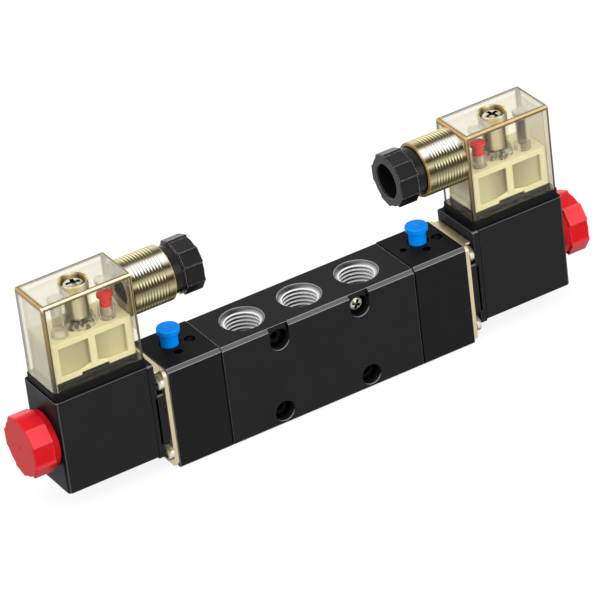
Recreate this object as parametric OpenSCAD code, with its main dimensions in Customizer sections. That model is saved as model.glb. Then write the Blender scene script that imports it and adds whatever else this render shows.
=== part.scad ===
// Five-port solenoid valve: a spool body between two pilot caps, and at each end a coil
// that carries a clear plug connector. Millimetres. +X runs along the valve, +Z is up and
// the front is -Y. The origin is the middle of the bottom face.
// The right-hand end is drawn; the left-hand end is its mirror image, apart from small recesses.

/* [Valve body] */
// Length of the spool body
body_l = 70; // [66:1:84]
// Depth of the body, front to back
body_w = 23; // [22:0.5:30]
// Height of the body
body_h = 35; // [34:0.5:40]
// Bevel along the two upper long edges
body_bevel = 1.1; // [0.6:0.1:1.6]
// Bevel along the two lower long edges
foot_bevel = 0.4; // [0.2:0.1:0.6]

/* [Ports] */
// Distance between the supply and exhaust ports on top
port_pitch = 21; // [20:0.5:23]
// Distance between the two working ports underneath
work_pitch = 20; // [18:0.5:21]
// Radius over the port thread's crests, which is the hole's wall
port_minor_r = 5.72; // [5.4:0.02:6]
// Radius at the port thread's roots
port_major_r = 6.58; // [6.3:0.02:6.8]
// Pitch of the port thread
port_thread_pitch = 1.337; // [1.2:0.001:1.5]
// Turns of thread in a port
port_turns = 6; // [4:1:6]
// Radius of the countersunk port mouth
port_mouth_r = 7.25; // [7:0.05:7.6]
// Depth of a port below its face
port_depth = 10.4; // [10:0.1:10.6]
// Radius of the passage from a port to the spool bore
passage_r = 3.6; // [2.5:0.1:4]

/* [Front pockets] */
// Half distance between the two upper, open pockets
notch_x = 14.7; // [14:0.1:15]
// Depth of the upper pockets' axis below the top of the body
notch_drop = 5.1; // [4.8:0.1:6]
// Half distance between the two lower pockets
bracket_x = 16; // [15.6:0.1:17]
// Height of the lower pockets' axis
bracket_z = 4.5; // [4.5:0.1:5.5]
// Radius of every front pocket
pocket_r = 3.5; // [3.2:0.1:3.6]
// Depth of every front pocket
pocket_depth = 3.8; // [3:0.1:4]
// Radius of the lower pockets' tapped holes
bracket_tap_r = 1.65; // [1.3:0.05:1.7]
// Depth of the lower tapped holes from the front face
bracket_tap_depth = 6; // [5:0.1:6]

/* [Lock screw] */
// Radius of the lock screw's head
lock_head_r = 2.3; // [2:0.1:2.6]
// Height of the lock screw's head
lock_head_h = 1.7; // [1.2:0.1:2]
// Radius of the lock screw's shank
lock_shank_r = 1.25; // [1:0.05:1.3]
// Depth of the lock screw's tapped hole below its pocket
lock_depth = 2.6; // [2:0.1:2.8]

/* [Spool and pistons] */
// Radius of the spool bore
spool_bore_r = 5; // [4.5:0.1:5.4]
// Radius of the spool between its lands
spool_core_r = 3.2; // [2.8:0.1:3.4]
// Length of the spool
spool_l = 67; // [64:0.5:67]
// Whole travel of the spool
spool_stroke = 4; // [3:0.1:4]
// Radius of the ring chamber around the bore at each port
chamber_r = 6.4; // [6:0.1:6.5]
// Length of each ring chamber
chamber_l = 5; // [4:0.1:5.4]
// Width of one land of the spool
land_l = 3.4; // [3:0.1:3.6]
// Width of the ring seal in a land
seal_l = 1.5; // [1.2:0.1:1.8]
// Depth of the ring seal's groove
seal_depth = 1; // [0.8:0.1:1.2]
// Radius of the piston chamber in a pilot cap
piston_bore_r = 7; // [6.5:0.1:7]
// Depth of the piston chamber
piston_bore_l = 10.2; // [10:0.1:11]
// Length of a piston's head
piston_l = 5.4; // [4.5:0.1:5.6]
// Radius of the stem by which a piston pushes the spool
piston_stem_r = 3.9; // [3.4:0.1:4.2]
// Width of a piston's seal
piston_seal_l = 2; // [1.5:0.1:2.4]
// Depth of a piston seal's groove
piston_seal_depth = 1.2; // [1:0.1:1.5]

/* [Pilot caps] */
// Length of a pilot cap
cap_l = 19.1; // [18:0.1:22]
// How far the caps stand above the body
cap_rise = 0.3; // [0:0.1:0.6]
// Thickness of the gasket between body and cap
cap_gasket_t = 0.4; // [0.3:0.1:0.8]
// How far the gasket stays inside the body's outline
gasket_inset = 0.35; // [0.2:0.05:0.6]
// Radius of the pilot chamber that faces the armature
pilot_r = 4.3; // [4.2:0.05:4.6]
// Depth of the pilot chamber
pilot_depth = 2; // [1.6:0.1:2.4]
// Radius of the pilot nozzle
nozzle_r = 1.6; // [1.3:0.1:2]
// Length of the pilot nozzle
nozzle_l = 1.1; // [0.8:0.1:1.3]
// Radius of the pilot nozzle's hole
nozzle_hole_r = 0.6; // [0.4:0.1:0.8]
// Depth of the small recesses beside a button
mark_depth = 0.5; // [0.3:0.1:0.8]
// Radius of the curved recess beside a button
arc_r = 1.85; // [1.6:0.05:2]
// Width of the curved recess
arc_w = 0.9; // [0.6:0.1:1.2]
// Radius of the round recess in front of a button
dimple_r = 1.35; // [1:0.05:1.5]
// Radius of the dot beside the right-hand button
dot_r = 1.1; // [0.8:0.05:1.3]

/* [Manual override] */
// Distance of a button outwards from its cap's middle
button_out = 0.6; // [0:0.1:1.2]
// Distance of a button behind its cap's middle
button_back = 2.3; // [0:0.1:2.6]
// Radius of the button's head
button_head_r = 3.7; // [3.4:0.1:4]
// Height of the button's head
button_head_h = 1.7; // [1.4:0.1:2.2]
// Height of the button's top above the cap
button_rise = 5.8; // [5:0.1:8]
// Radius of the button's stem
button_stem_r = 2.9; // [2.6:0.1:3]
// How much thinner the stem is where it meets the head
button_taper = 0.15; // [0:0.05:0.3]
// Radius of the button's hole in the cap
button_bore_r = 3.4; // [3.2:0.05:3.5]
// Depth of the button's hole
button_bore_l = 7.3; // [7:0.1:7.4]
// Travel of the button
button_travel = 1.5; // [1:0.1:1.6]
// Length of the button's spring at rest
button_spring_l = 3.5; // [3.4:0.1:3.6]
// Wire radius of the button's spring
button_wire_r = 0.28; // [0.2:0.02:0.3]
// Radius of the override pin
pin_r = 1.2; // [1:0.05:1.3]
// Depth of the pin's guide hole below the button's hole
pin_guide_l = 2.6; // [2.4:0.1:2.7]
// Height of the spring seat on the pin
pin_collar_h = 0.8; // [0.6:0.1:1]
// Length of the pin inside the button
pin_grip_l = 5.5; // [4:0.1:6]

/* [Adapter plates and screws] */
// Thickness of an adapter plate
plate_t = 1.5; // [1.2:0.1:2]
// Corner radius of an adapter plate
plate_corner_r = 2; // [1:0.1:2.5]
// How far a plate stays inside the cap's outline
plate_inset = 0.2; // [0.1:0.05:0.5]
// How far a plate's top lip reaches towards the coil
lip_l = 2; // [1:0.1:2.2]
// Thickness of a plate's top lip
lip_t = 0.9; // [0.8:0.1:1]
// Distance of the plate screws' axes from the body's front and back
screw_inset = 2.7; // [2.6:0.1:3]
// Height of the lower plate screws
screw_low_z = 5.5; // [5:0.1:5.8]
// Distance of the upper plate screws' axes below the cap's top
screw_drop = 4.3; // [4:0.1:4.6]
// Radius of a plate screw's head
screw_head_r = 2.7; // [2.4:0.1:2.8]
// Height of a plate screw's head
screw_head_h = 2.2; // [1.8:0.1:2.2]
// Radius of a plate screw's shank
screw_shank_r = 1.45; // [1.2:0.05:1.5]
// How far a plate screw reaches into the body
screw_reach = 8; // [6:0.5:9]

/* [Armature] */
// Height of the armature's axis
coil_axis_z = 22; // [21.8:0.1:22.2]
// Outer radius of the armature tube
tube_r = 4.6; // [4.5:0.1:5]
// Wall of the armature tube
tube_wall = 0.5; // [0.4:0.05:0.7]
// Radius of the tube's clamped flange
tube_flange_r = 6.1; // [5.9:0.1:6.4]
// Thickness of the tube's clamped flange
tube_flange_t = 0.7; // [0.5:0.1:0.8]
// Thickness of the tube's ring seal
tube_seal_t = 0.8; // [0.6:0.1:1]
// Length of the plunger
plunger_l = 20.4; // [18:0.1:22]
// Travel of the plunger
plunger_stroke = 0.8; // [0.6:0.1:0.9]
// Radius of the pocket for the plunger's spring
plunger_pocket_r = 2.2; // [2:0.1:2.4]
// Depth of the pocket for the plunger's spring
plunger_pocket_l = 6; // [5:0.1:7]
// Wire radius of the plunger's spring
plunger_wire_r = 0.3; // [0.2:0.02:0.34]
// Radius of the threaded stud at the end of the tube
stud_r = 2.5; // [2:0.1:3]
// Length of the threaded stud
stud_l = 7.4; // [6:0.1:7.8]

/* [Coil] */
// Length of the coil
coil_l = 32; // [31.5:0.1:36]
// Width of the coil, front to back
coil_w = 20.6; // [20:0.1:22.6]
// Height of the coil above its axis
coil_up = 16.6; // [16:0.1:18]
// Depth of the coil below its axis
coil_down = 16; // [15.6:0.1:17]
// Rounding of the coil's long edges
coil_round = 1; // [0.5:0.1:1.5]
// Gap between the adapter plate and the coil's front flange
flange_gap = 2.4; // [2.4:0.1:3]
// Thickness of the coil's front flange
flange_t = 2.2; // [1.8:0.1:2.6]
// How far the front flange reaches below the coil
flange_drop = 1; // [0:0.1:1.4]
// Radius of the winding
winding_r = 8.2; // [7.6:0.1:8.3]
// Wall of the bobbin
bobbin_wall = 0.95; // [0.8:0.05:1.2]
// Thickness of the bobbin's end flange
bobbin_flange_t = 1.2; // [1:0.1:1.5]
// Thickness of the yoke's end plates
yoke_t = 1.5; // [1.2:0.1:1.8]
// Thickness of the yoke's straps
yoke_strap_t = 1.2; // [1:0.1:1.4]
// Thickness of the coil's outer end wall
coil_end_wall = 1.6; // [1.2:0.1:2]

/* [Coil nut] */
// Radius of the nut over its ribs
nut_rib_r = 10.4; // [9.5:0.1:11]
// Radius of the nut between its ribs
nut_valley_r = 9.6; // [8.8:0.1:10]
// Length of the ribbed part
nut_rib_l = 6.9; // [6:0.1:9]
// Length of the round collar behind the ribs
nut_collar_l = 2.3; // [1.5:0.1:3]
// Number of raised flats on the coil nut
nut_ribs = 5; // [4:1:8]

/* [Connector] */
// Length of the clear cover
cover_l = 31.4; // [31:0.1:34]
// Width of the clear cover
cover_w = 17.6; // [17:0.1:19]
// Height of the clear cover
cover_h = 30.2; // [29.6:0.1:33]
// Wall of the clear cover
cover_wall = 1.3; // [1:0.1:1.5]
// Thickness of the cover's lid
lid_t = 1.6; // [1.2:0.1:2]
// Rounding of the cover's upright edges
cover_round = 1.2; // [0.6:0.1:2]
// Overhang of the cover past the coil, towards the body
cover_overhang = 0.4; // [0:0.1:0.6]
// Thickness of the black base gasket
base_t = 2.6; // [2:0.1:3]
// How far the base gasket stands out around the cover
base_lip = 0.35; // [0.2:0.05:0.5]
// Height of the base gasket's upstand inside the cover
base_upstand = 1.8; // [1:0.1:2.2]
// Height of the terminal block
block_h = 13.5; // [12.5:0.1:14]
// Depth of the recessed panels in the block's front and back
panel_depth = 1.4; // [0.8:0.1:2]
// Width of the block's corner posts
post_w = 2.4; // [1.8:0.1:3]
// Width of the rib between the recessed panels
rib_w = 2.3; // [1.5:0.1:3]
// Height of the block's top rail
rail_h = 1.9; // [1.4:0.1:2.6]
// Height of the block's sill
sill_h = 1.8; // [1.2:0.1:2.4]
// Length of the step in the block's sill
step_l = 9.5; // [7:0.5:11]
// Radius of the well for the connector screw
well_r = 4.65; // [4.4:0.05:4.8]
// Wall of the well for the connector screw
well_wall = 0.6; // [0.5:0.05:0.8]
// Radius of the well's foot
well_foot_r = 5.6; // [5.2:0.1:5.9]
// Thickness of a contact blade
blade_t = 0.8; // [0.6:0.05:1]
// Width of a contact blade
blade_w = 6.3; // [4:0.1:6.5]
// Length of a contact blade above the coil
blade_rise = 8.4; // [7:0.1:9]
// Distance from the connector screw to a power blade
blade_x = 5.5; // [5.2:0.1:6]
// Distance from the connector screw to the earth blade
earth_x = 10.4; // [9.4:0.1:11]

/* [Connector screw] */
// Radius of the connector screw's head
cs_head_r = 3.4; // [3:0.1:3.7]
// Height of the connector screw's head
cs_head_h = 1.8; // [1.4:0.1:2.2]
// Depth of the head below the lid
cs_sink = 0.7; // [0.4:0.1:1.2]
// Radius of the connector screw's shank
cs_shank_r = 1.5; // [1.2:0.05:1.6]
// Radius of the screw's thick part between its head and its shank
cs_body_r = 3.7; // [3.4:0.05:3.8]
// Height of the thick part above the floor of the screw's well
cs_body_up = 1.5; // [0.5:0.1:3]
// How far the connector screw reaches into the coil
cs_reach = 5; // [4:0.1:5.4]

/* [Lamp and light pipes] */
// Distance from the connector screw to the lamp and to the plain light pipe
light_dx = 8.3; // [8.3:0.1:9]
// Distance of lamp and light pipe in front of the middle
light_dy = 3; // [2:0.1:3.4]
// Radius of the lamp's body
lamp_r = 1.9; // [1.6:0.05:2]
// Radius of the lamp's rim
lamp_rim_r = 2.55; // [2.3:0.05:2.6]
// Height of the lamp's body
lamp_h = 7.7; // [6:0.1:8]
// Height of the lamp's rim
lamp_rim_h = 1.2; // [0.8:0.1:1.4]
// Radius of the ring that each light stands in
ring_r = 2.7; // [2.6:0.05:3]
// Height of the ring under the lamp
lamp_ring_h = 3; // [2:0.1:3.4]
// Height of the ring under the light pipe
pipe_ring_h = 2; // [1.4:0.1:2.6]
// Radius of the light pipe
pipe_r = 1.8; // [1.5:0.05:2]
// Radius of the lens under the lid
lens_r = 2.5; // [2:0.1:2.6]
// Thickness of the lens under the lid
lens_t = 1.6; // [1:0.1:2]

/* [Cable gland] */
// Outer radius of the gland tube
gland_r = 9.1; // [8.8:0.05:9.2]
// Length of the gland tube
gland_l = 14.4; // [14:0.1:16]
// Drop of the gland's axis below the lid
gland_drop = 9.5; // [9.3:0.1:10]
// Radius over the gland's inner thread crests
gland_minor_r = 7.9; // [7.6:0.05:8]
// Radius at the gland's inner thread roots
gland_major_r = 8.45; // [8.3:0.05:8.6]
// Pitch of the gland's inner thread
gland_thread_pitch = 1.41; // [1.2:0.01:1.5]
// Turns of the gland's inner thread
gland_turns = 7; // [4:1:7]
// Radius of the cable's way into the cover
wire_way_r = 5.6; // [4:0.1:6]
// Radius of the gland nut over its ribs
gnut_rib_r = 9.15; // [8.6:0.05:9.6]
// Radius of the gland nut between its ribs
gnut_valley_r = 8.45; // [8:0.05:8.6]
// Length of the gland nut's head
gnut_l = 6.7; // [6:0.1:8]
// Length of the gland nut's neck outside the tube
gnut_neck_l = 3.6; // [2:0.1:4]
// Length of the gland nut's spigot inside the tube
gnut_spigot_l = 6.8; // [5:0.1:7.4]
// Radius of the cable's hole through the gland nut
cable_r = 5.6; // [4:0.1:5.8]
// Number of raised flats on the gland nut
gnut_ribs = 5; // [4:1:8]
// Length of the gland's rubber seal
gland_seal_l = 6; // [4:0.1:6.4]
// Radius of the cable's hole through the rubber seal
gland_seal_r = 4; // [3:0.1:4.6]

/* [Hidden] */
// Radial running clearance of every turning or sliding fit
run_gap = 0.05;
// Clearance of a seated piece all round
seat_gap = 0.05;
// Free radius around a shank that passes through
pass_gap = 0.2;
// How far a cut runs past the face that it opens
cut = 0.5;
// How far a spool's land clears the edge of its chamber
land_lap = 0.1;
// Gap between the spool body's end and a piston at the near end of its travel
piston_gap = 0.6;
// Thickness of the wall that closes the outer end of a gland's bore
gland_floor = 0.6;
// Turn of the first raised flat of a grip, from +Y towards +Z
grip_turn = 54;
// How far the coil nut's collar stays inside the lower flats of its grip
nut_collar_step = 0.2;
$fn = 48;

SIDE_NODES = [
    "cap_gasket", "pilot_cap", "piston", "piston_seal", "override_pin", "override_spring",
    "override_button", "adapter_plate", "plate_screws", "armature_tube", "tube_seal", "plunger",
    "plunger_spring", "bobbin", "coil_winding", "yoke", "coil_shell", "terminal_blades", "coil_nut",
    "connector_base", "terminal_block", "connector_cover", "connector_screw", "indicator_lamp",
    "light_pipes", "gland_seal", "gland_nut",
];
CENTRE_NODES = ["valve_body", "spool", "spool_seals", "lock_screw"];

// Colours of the real pieces
anodised = [0.13, 0.13, 0.14];
black_plastic = [0.10, 0.10, 0.11];
black_rubber = [0.07, 0.07, 0.07];
champagne = [0.76, 0.69, 0.50];
nickel = [0.78, 0.76, 0.70];
steel = [0.62, 0.63, 0.65];
aluminium = [0.80, 0.81, 0.83];
brass = [0.80, 0.66, 0.32];
copper = [0.72, 0.40, 0.22];
cream = [0.93, 0.91, 0.74];
amber_clear = [0.92, 0.84, 0.52, 0.4];
clear = [0.92, 0.93, 0.92, 0.4];
override_blue = [0.04, 0.50, 0.88];
signal_red = [0.90, 0.09, 0.11];

// Places along the right-hand end, from the body outwards
body_end = body_l / 2;
cap_start = body_end + cap_gasket_t;
cap_end = cap_start + cap_l;
plate_end = cap_end + plate_t;
flange_start = plate_end + flange_gap;
coil_start = flange_start + flange_t;
coil_end = coil_start + coil_l;
cap_h = body_h + cap_rise;
screw_y = body_w / 2 - screw_inset;
screw_high_z = cap_h - screw_drop;
spool_z = body_h / 2;
spool_rest_x = -spool_stroke / 2;
piston_start = body_end + spool_stroke / 2 + piston_gap;
port_xs = [-port_pitch, 0, port_pitch];
work_xs = [-work_pitch / 2, work_pitch / 2];

// Middles of the spool's lands from its own middle: the first two on each side close the way
// beside a working port's chamber at one end of the travel and lie inside it at the other
land_xs = [
    for (side = [-1, 1], x = [
        (work_pitch - chamber_l + land_l - spool_stroke) / 2 + land_lap,
        (work_pitch + chamber_l - land_l + spool_stroke) / 2 - land_lap,
        spool_l / 2 - land_l,
    ]) side * x,
];

// Places of the armature
core_start = cap_end - pilot_depth + nozzle_l + seat_gap + plunger_l + plunger_stroke + 3 * seat_gap;
plunger_start = cap_end - pilot_depth + nozzle_l + seat_gap;
tube_bore_r = tube_r - tube_wall;

// Places of the coil
coil_bottom = coil_axis_z - coil_down;
coil_top = coil_axis_z + coil_up;
bobbin_r = tube_r + run_gap + bobbin_wall;
bobbin_end = coil_end - coil_end_wall - yoke_t - 2 * seat_gap;
strap_low = winding_r + 0.4;
cavity_half_h = strap_low + yoke_strap_t + 2 * seat_gap;
cavity_half_w = winding_r + 0.8;

// Places of the connector
cover_start = coil_start - cover_overhang;
cover_end = cover_start + cover_l;
cover_bottom = coil_top + base_t;
cover_top = cover_bottom + cover_h;
lid_bottom = cover_top - lid_t;
screw_x = (cover_start + cover_end) / 2;
block_bottom = cover_bottom + base_upstand;
block_top = block_bottom + block_h;
block_start = cover_start + cover_wall + 0.35;
block_end = cover_end - cover_wall - 0.35;
block_half_w = cover_w / 2 - cover_wall - 0.3;
well_floor = block_top + 1.2;
blade_xs = [screw_x - blade_x, screw_x + blade_x, screw_x + earth_x];
lamp_x = screw_x - light_dx;
pipe_x = screw_x + light_dx;
gland_z = cover_top - gland_drop;
gland_rim = cover_start - gland_l;
gnut_face = gland_rim - gnut_neck_l - gnut_l;

// Places of the manual override, below the top of a cap
button_floor = cap_h - button_bore_l;
button_seat = button_floor + button_spring_l;
button_stem_bottom = button_seat + pin_collar_h;
button_top = cap_h + button_rise;
button_head_bottom = button_top - button_head_h;
button_x = (cap_start + cap_end) / 2 + button_out;

// Places of the recesses from a button's axis, the same way round on both caps
arc_at = [5.9, -2.1];
dimple_at = [-0.5, -6.2];
dot_at = [-6.5, -1.8];

// Turns the drawn right-hand end into the left-hand one
module on_side(side) {
    if (side < 0)
        mirror([1, 0, 0]) children();
    else
        children();
}

// Cylinder along +X from x0 to x1, on the axis at height z
module bar_x(x0, x1, r, z = 0, y = 0) {
    translate([x0, y, z]) rotate([0, 90, 0]) cylinder(h = x1 - x0, r = r);
}

// Box from one corner to the other
module box(low, high) {
    translate(low) cube(high - low);
}

// Ring along X from x0 to x1
module ring_x(x0, x1, outer, inner, z) {
    difference() {
        bar_x(x0, x1, outer, z);
        bar_x(x0 - cut, x1 + cut, inner, z);
    }
}

// Rectangle from low to high with round corners
module round_rect(low, high, r) {
    translate([low[0] + r, low[1]]) square([high[0] - low[0] - 2 * r, high[1] - low[1]]);
    translate([low[0], low[1] + r]) square([high[0] - low[0], high[1] - low[1] - 2 * r]);
    for (x = [low[0] + r, high[0] - r], y = [low[1] + r, high[1] - r])
        translate([x, y]) circle(r);
}

// Plate in the YZ plane from x0 to x1, outlined in (y, z)
module plate_x(x0, x1, low, high, r) {
    translate([x0, 0, 0]) rotate([90, 0, 90]) linear_extrude(x1 - x0) round_rect(low, high, r);
}

// Bar along X with the body's bevelled section
module bevelled_bar(x0, x1, h) {
    w = body_w / 2;
    translate([x0, 0, 0]) rotate([90, 0, 90]) linear_extrude(x1 - x0) polygon([
        [-w + foot_bevel, 0], [w - foot_bevel, 0], [w, foot_bevel], [w, h - body_bevel],
        [w - body_bevel, h], [-w + body_bevel, h], [-w, h - body_bevel], [-w, foot_bevel],
    ]);
}

// Points (radius, depth) along a thread, from the first radius to the second and back each turn
function thread_points(first, second, pitch, turns, start) = [
    for (i = [0:turns - 1])
        for (p = [[first, 0], [first, 0.25], [second, 0.5], [second, 0.7]])
            [p[0], start + (i + p[1]) * pitch],
];

// Port void that opens at z = 0 and runs along +Z into the material
module port_void() {
    lead = port_mouth_r - port_major_r;
    rotate_extrude() polygon(concat(
        [[0, -cut], [port_mouth_r + cut, -cut]],
        thread_points(port_major_r, port_minor_r, port_thread_pitch, port_turns, lead),
        [
            [port_minor_r, lead + port_turns * port_thread_pitch],
            [port_minor_r, port_depth],
            [0, port_depth],
        ]
    ));
    cylinder(h = body_h / 2, r = passage_r);
}

// Outline of a faceted grip: each rib is a raised flat, with two lower flats before the next
module ribbed_outline(ribs, rib_r, valley_r) {
    step = 360 / ribs;
    polygon([
        for (i = [0:ribs - 1])
            for (p = [[0, rib_r], [0.43, rib_r], [0.47, valley_r], [0.68, valley_r], [0.89, valley_r]])
                [p[1] * cos(grip_turn + (i + p[0]) * step), p[1] * sin(grip_turn + (i + p[0]) * step)],
    ]);
}

// Cross recess for a driver, opening at z = 0 downwards
module cross_recess(width, depth) {
    arm = width / 4;
    for (turn = [0, 90])
        rotate([0, 0, turn]) translate([-width / 2, -arm / 2, -depth]) cube([width, arm, depth + cut]);
}

// Compression spring along +Z from z = 0, whose wire's middle follows a helix
module wire_spring(length, mean_r, wire_r, turns) {
    sides = 6;
    rings = 14 * turns;
    rise = length - 2 * wire_r;
    lean = atan(rise / turns / (2 * PI * mean_r));
    points = [
        for (i = [0:rings], k = [0:sides - 1])
            let (a = 360 * turns * i / rings, b = 360 * k / sides,
                 out = mean_r + wire_r * cos(b), side = wire_r * sin(b))
                [out * cos(a) + side * sin(lean) * sin(a),
                 out * sin(a) - side * sin(lean) * cos(a),
                 wire_r + rise * i / rings + side * cos(lean)],
    ];
    faces = concat(
        [[for (k = [0:sides - 1]) k]],
        [for (i = [0:rings - 1], k = [0:sides - 1])
            let (a = i * sides + k, b = i * sides + (k + 1) % sides)
                [b, a, a + sides, b + sides]],
        [[for (k = [sides - 1:-1:0]) rings * sides + k]]
    );
    polyhedron(points, faces);
}

// Spool body

module valve_body() {
    color(anodised) difference() {
        bevelled_bar(-body_end, body_end, body_h);
        for (x = port_xs)
            translate([x, 0, body_h]) rotate([180, 0, 0]) port_void();
        for (x = work_xs)
            translate([x, 0, 0]) port_void();
        bar_x(-body_end - cut, body_end + cut, spool_bore_r, spool_z);
        for (x = concat(port_xs, work_xs))
            bar_x(x - chamber_l / 2, x + chamber_l / 2, chamber_r, spool_z);
        for (side = [-1, 1]) {
            upper_pocket(side * notch_x);
            lower_pocket(side * bracket_x);
            on_side(side) body_screw_holes();
        }
    }
}

// Upper front pocket, open through the bevel, with the lock screw's tapped hole
module upper_pocket(x) {
    slot_depth = body_bevel - 0.1;
    z = body_h - notch_drop;
    front_hole(x, z, pocket_r, pocket_depth);
    front_hole(x, z, lock_shank_r + seat_gap, pocket_depth + lock_depth);
    box([x - pocket_r, -body_w / 2 - cut, z], [x + pocket_r, -body_w / 2 + slot_depth, body_h + cut]);
}

// Lower front pocket with its tapped hole
module lower_pocket(x) {
    front_hole(x, bracket_z, pocket_r, pocket_depth);
    front_hole(x, bracket_z, bracket_tap_r, bracket_tap_depth);
}

// Hole from the front face, depth deep
module front_hole(x, z, r, depth) {
    translate([x, -body_w / 2 + depth, z]) rotate([90, 0, 0]) cylinder(h = depth + cut, r = r);
}

module body_screw_holes() {
    for (y = [-screw_y, screw_y], z = [screw_low_z, screw_high_z])
        bar_x(body_end - screw_reach - seat_gap, body_end + cut, screw_shank_r + seat_gap, z, y);
}

module lock_screw() {
    floor_y = -body_w / 2 + pocket_depth;
    color(nickel) translate([notch_x, floor_y, body_h - notch_drop]) rotate([90, 0, 0]) {
        difference() {
            cylinder(h = lock_head_h, r = lock_head_r);
            translate([0, 0, lock_head_h]) rotate([0, 0, 20])
                cross_recess(1.3 * lock_head_r, lock_head_h / 2);
        }
        translate([0, 0, -lock_depth + 2 * seat_gap]) cylinder(h = lock_depth, r = lock_shank_r);
    }
}

module spool() {
    color(aluminium) translate([spool_rest_x, 0, 0]) difference() {
        union() {
            bar_x(-spool_l / 2, spool_l / 2, spool_core_r, spool_z);
            for (x = land_xs)
                bar_x(x - land_l / 2, x + land_l / 2, spool_bore_r - run_gap, spool_z);
        }
        for (x = land_xs)
            ring_x(x - seal_l / 2, x + seal_l / 2, spool_bore_r + cut, spool_bore_r - seal_depth, spool_z);
    }
}

module spool_seals() {
    color(black_rubber) translate([spool_rest_x, 0, 0])
        for (x = land_xs)
            ring_x(x - seal_l / 2 + seat_gap, x + seal_l / 2 - seat_gap,
                spool_bore_r - run_gap / 2, spool_bore_r - seal_depth + seat_gap / 2, spool_z);
}

// Pilot end, drawn for the right-hand side

module cap_gasket(side) {
    w = body_w / 2 - gasket_inset;
    color(black_rubber) on_side(side) difference() {
        plate_x(body_end, cap_start, [-w, foot_bevel + gasket_inset], [w, body_h - gasket_inset], body_bevel);
        bar_x(body_end - cut, cap_start + cut, piston_bore_r + pass_gap, spool_z);
        for (y = [-screw_y, screw_y], z = [screw_low_z, screw_high_z])
            bar_x(body_end - cut, cap_start + cut, screw_shank_r + pass_gap, z, y);
    }
}

module pilot_cap(side) {
    nozzle_end = cap_end - pilot_depth + nozzle_l;
    color(anodised) on_side(side) {
        difference() {
            bevelled_bar(cap_start, cap_end, cap_h);
            bar_x(cap_start - cut, cap_start + piston_bore_l, piston_bore_r, spool_z);
            bar_x(cap_end - pilot_depth, cap_end + cut, pilot_r, coil_axis_z);
            bar_x(cap_start, cap_end, nozzle_hole_r, coil_axis_z);
            ring_x(cap_end - tube_seal_t, cap_end + cut, tube_flange_r - 0.3, pilot_r + 0.5, coil_axis_z);
            for (y = [-screw_y, screw_y], z = [screw_low_z, screw_high_z])
                bar_x(cap_start - cut, cap_end + cut, screw_shank_r + pass_gap, z, y);
            translate([button_x, button_back, 0]) {
                override_holes();
                mirror([side < 0 ? 1 : 0, 0, 0]) override_marks(side);
            }
        }
        ring_x(cap_end - pilot_depth, nozzle_end, nozzle_r, nozzle_hole_r, coil_axis_z);
    }
}

module override_holes() {
    translate([0, 0, button_floor]) cylinder(h = button_bore_l + cut, r = button_bore_r);
    translate([0, 0, button_floor - pin_guide_l]) cylinder(h = pin_guide_l + cut, r = pin_r + run_gap);
}

// Shallow plain recesses around the button
module override_marks(side) {
    translate([0, 0, cap_h - mark_depth]) {
        translate(arc_at) difference() {
            cylinder(h = mark_depth + cut, r = arc_r);
            translate([0, 0, -cut]) cylinder(h = mark_depth + 3 * cut, r = arc_r - arc_w);
            translate([-2 * arc_r, -2 * arc_r, -cut]) cube([2 * arc_r, 2 * arc_r, mark_depth + 3 * cut]);
        }
        translate(dimple_at) cylinder(h = mark_depth + cut, r = dimple_r);
        if (side > 0)
            translate(dot_at) cylinder(h = mark_depth + cut, r = dot_r);
    }
}

module piston(side) {
    color(brass) translate([spool_rest_x, 0, 0]) on_side(side) difference() {
        union() {
            bar_x(spool_l / 2, piston_start + cut, piston_stem_r, spool_z);
            bar_x(piston_start, piston_start + piston_l, piston_bore_r - run_gap, spool_z);
        }
        piston_groove(piston_start + piston_l / 2, 0);
    }
}

// Ring groove around a piston; shrink makes the seal that lies in it
module piston_groove(middle, shrink) {
    ring_x(middle - piston_seal_l / 2 + shrink, middle + piston_seal_l / 2 - shrink,
        piston_bore_r + (shrink > 0 ? -run_gap / 2 : cut),
        piston_bore_r - piston_seal_depth + shrink, spool_z);
}

module piston_seal(side) {
    color(black_rubber) translate([spool_rest_x, 0, 0]) on_side(side)
        piston_groove(piston_start + piston_l / 2, seat_gap / 2);
}

module override_pin(side) {
    foot = button_floor - pin_guide_l + button_travel + 2 * seat_gap;
    color(steel) on_side(side) translate([button_x, button_back, 0]) {
        translate([0, 0, foot]) cylinder(h = button_stem_bottom + pin_grip_l - foot, r = pin_r);
        translate([0, 0, button_seat]) cylinder(h = pin_collar_h, r = button_stem_r);
    }
}

module override_spring(side) {
    color(steel) on_side(side) translate([button_x, button_back, button_floor])
        wire_spring(button_spring_l, (pin_r + button_bore_r) / 2, button_wire_r, 3);
}

module override_button(side) {
    stem_h = button_head_bottom - button_stem_bottom;
    color(override_blue) on_side(side) translate([button_x, button_back, button_stem_bottom]) difference() {
        union() {
            cylinder(h = stem_h, r1 = button_stem_r, r2 = button_stem_r - button_taper);
            translate([0, 0, stem_h]) cylinder(h = button_head_h, r = button_head_r);
        }
        translate([0, 0, -cut]) cylinder(h = pin_grip_l + seat_gap + cut, r = pin_r + run_gap);
        translate([0, 0, stem_h + button_head_h - 0.3]) cylinder(h = 0.3 + cut, r = 0.35);
    }
}

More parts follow.
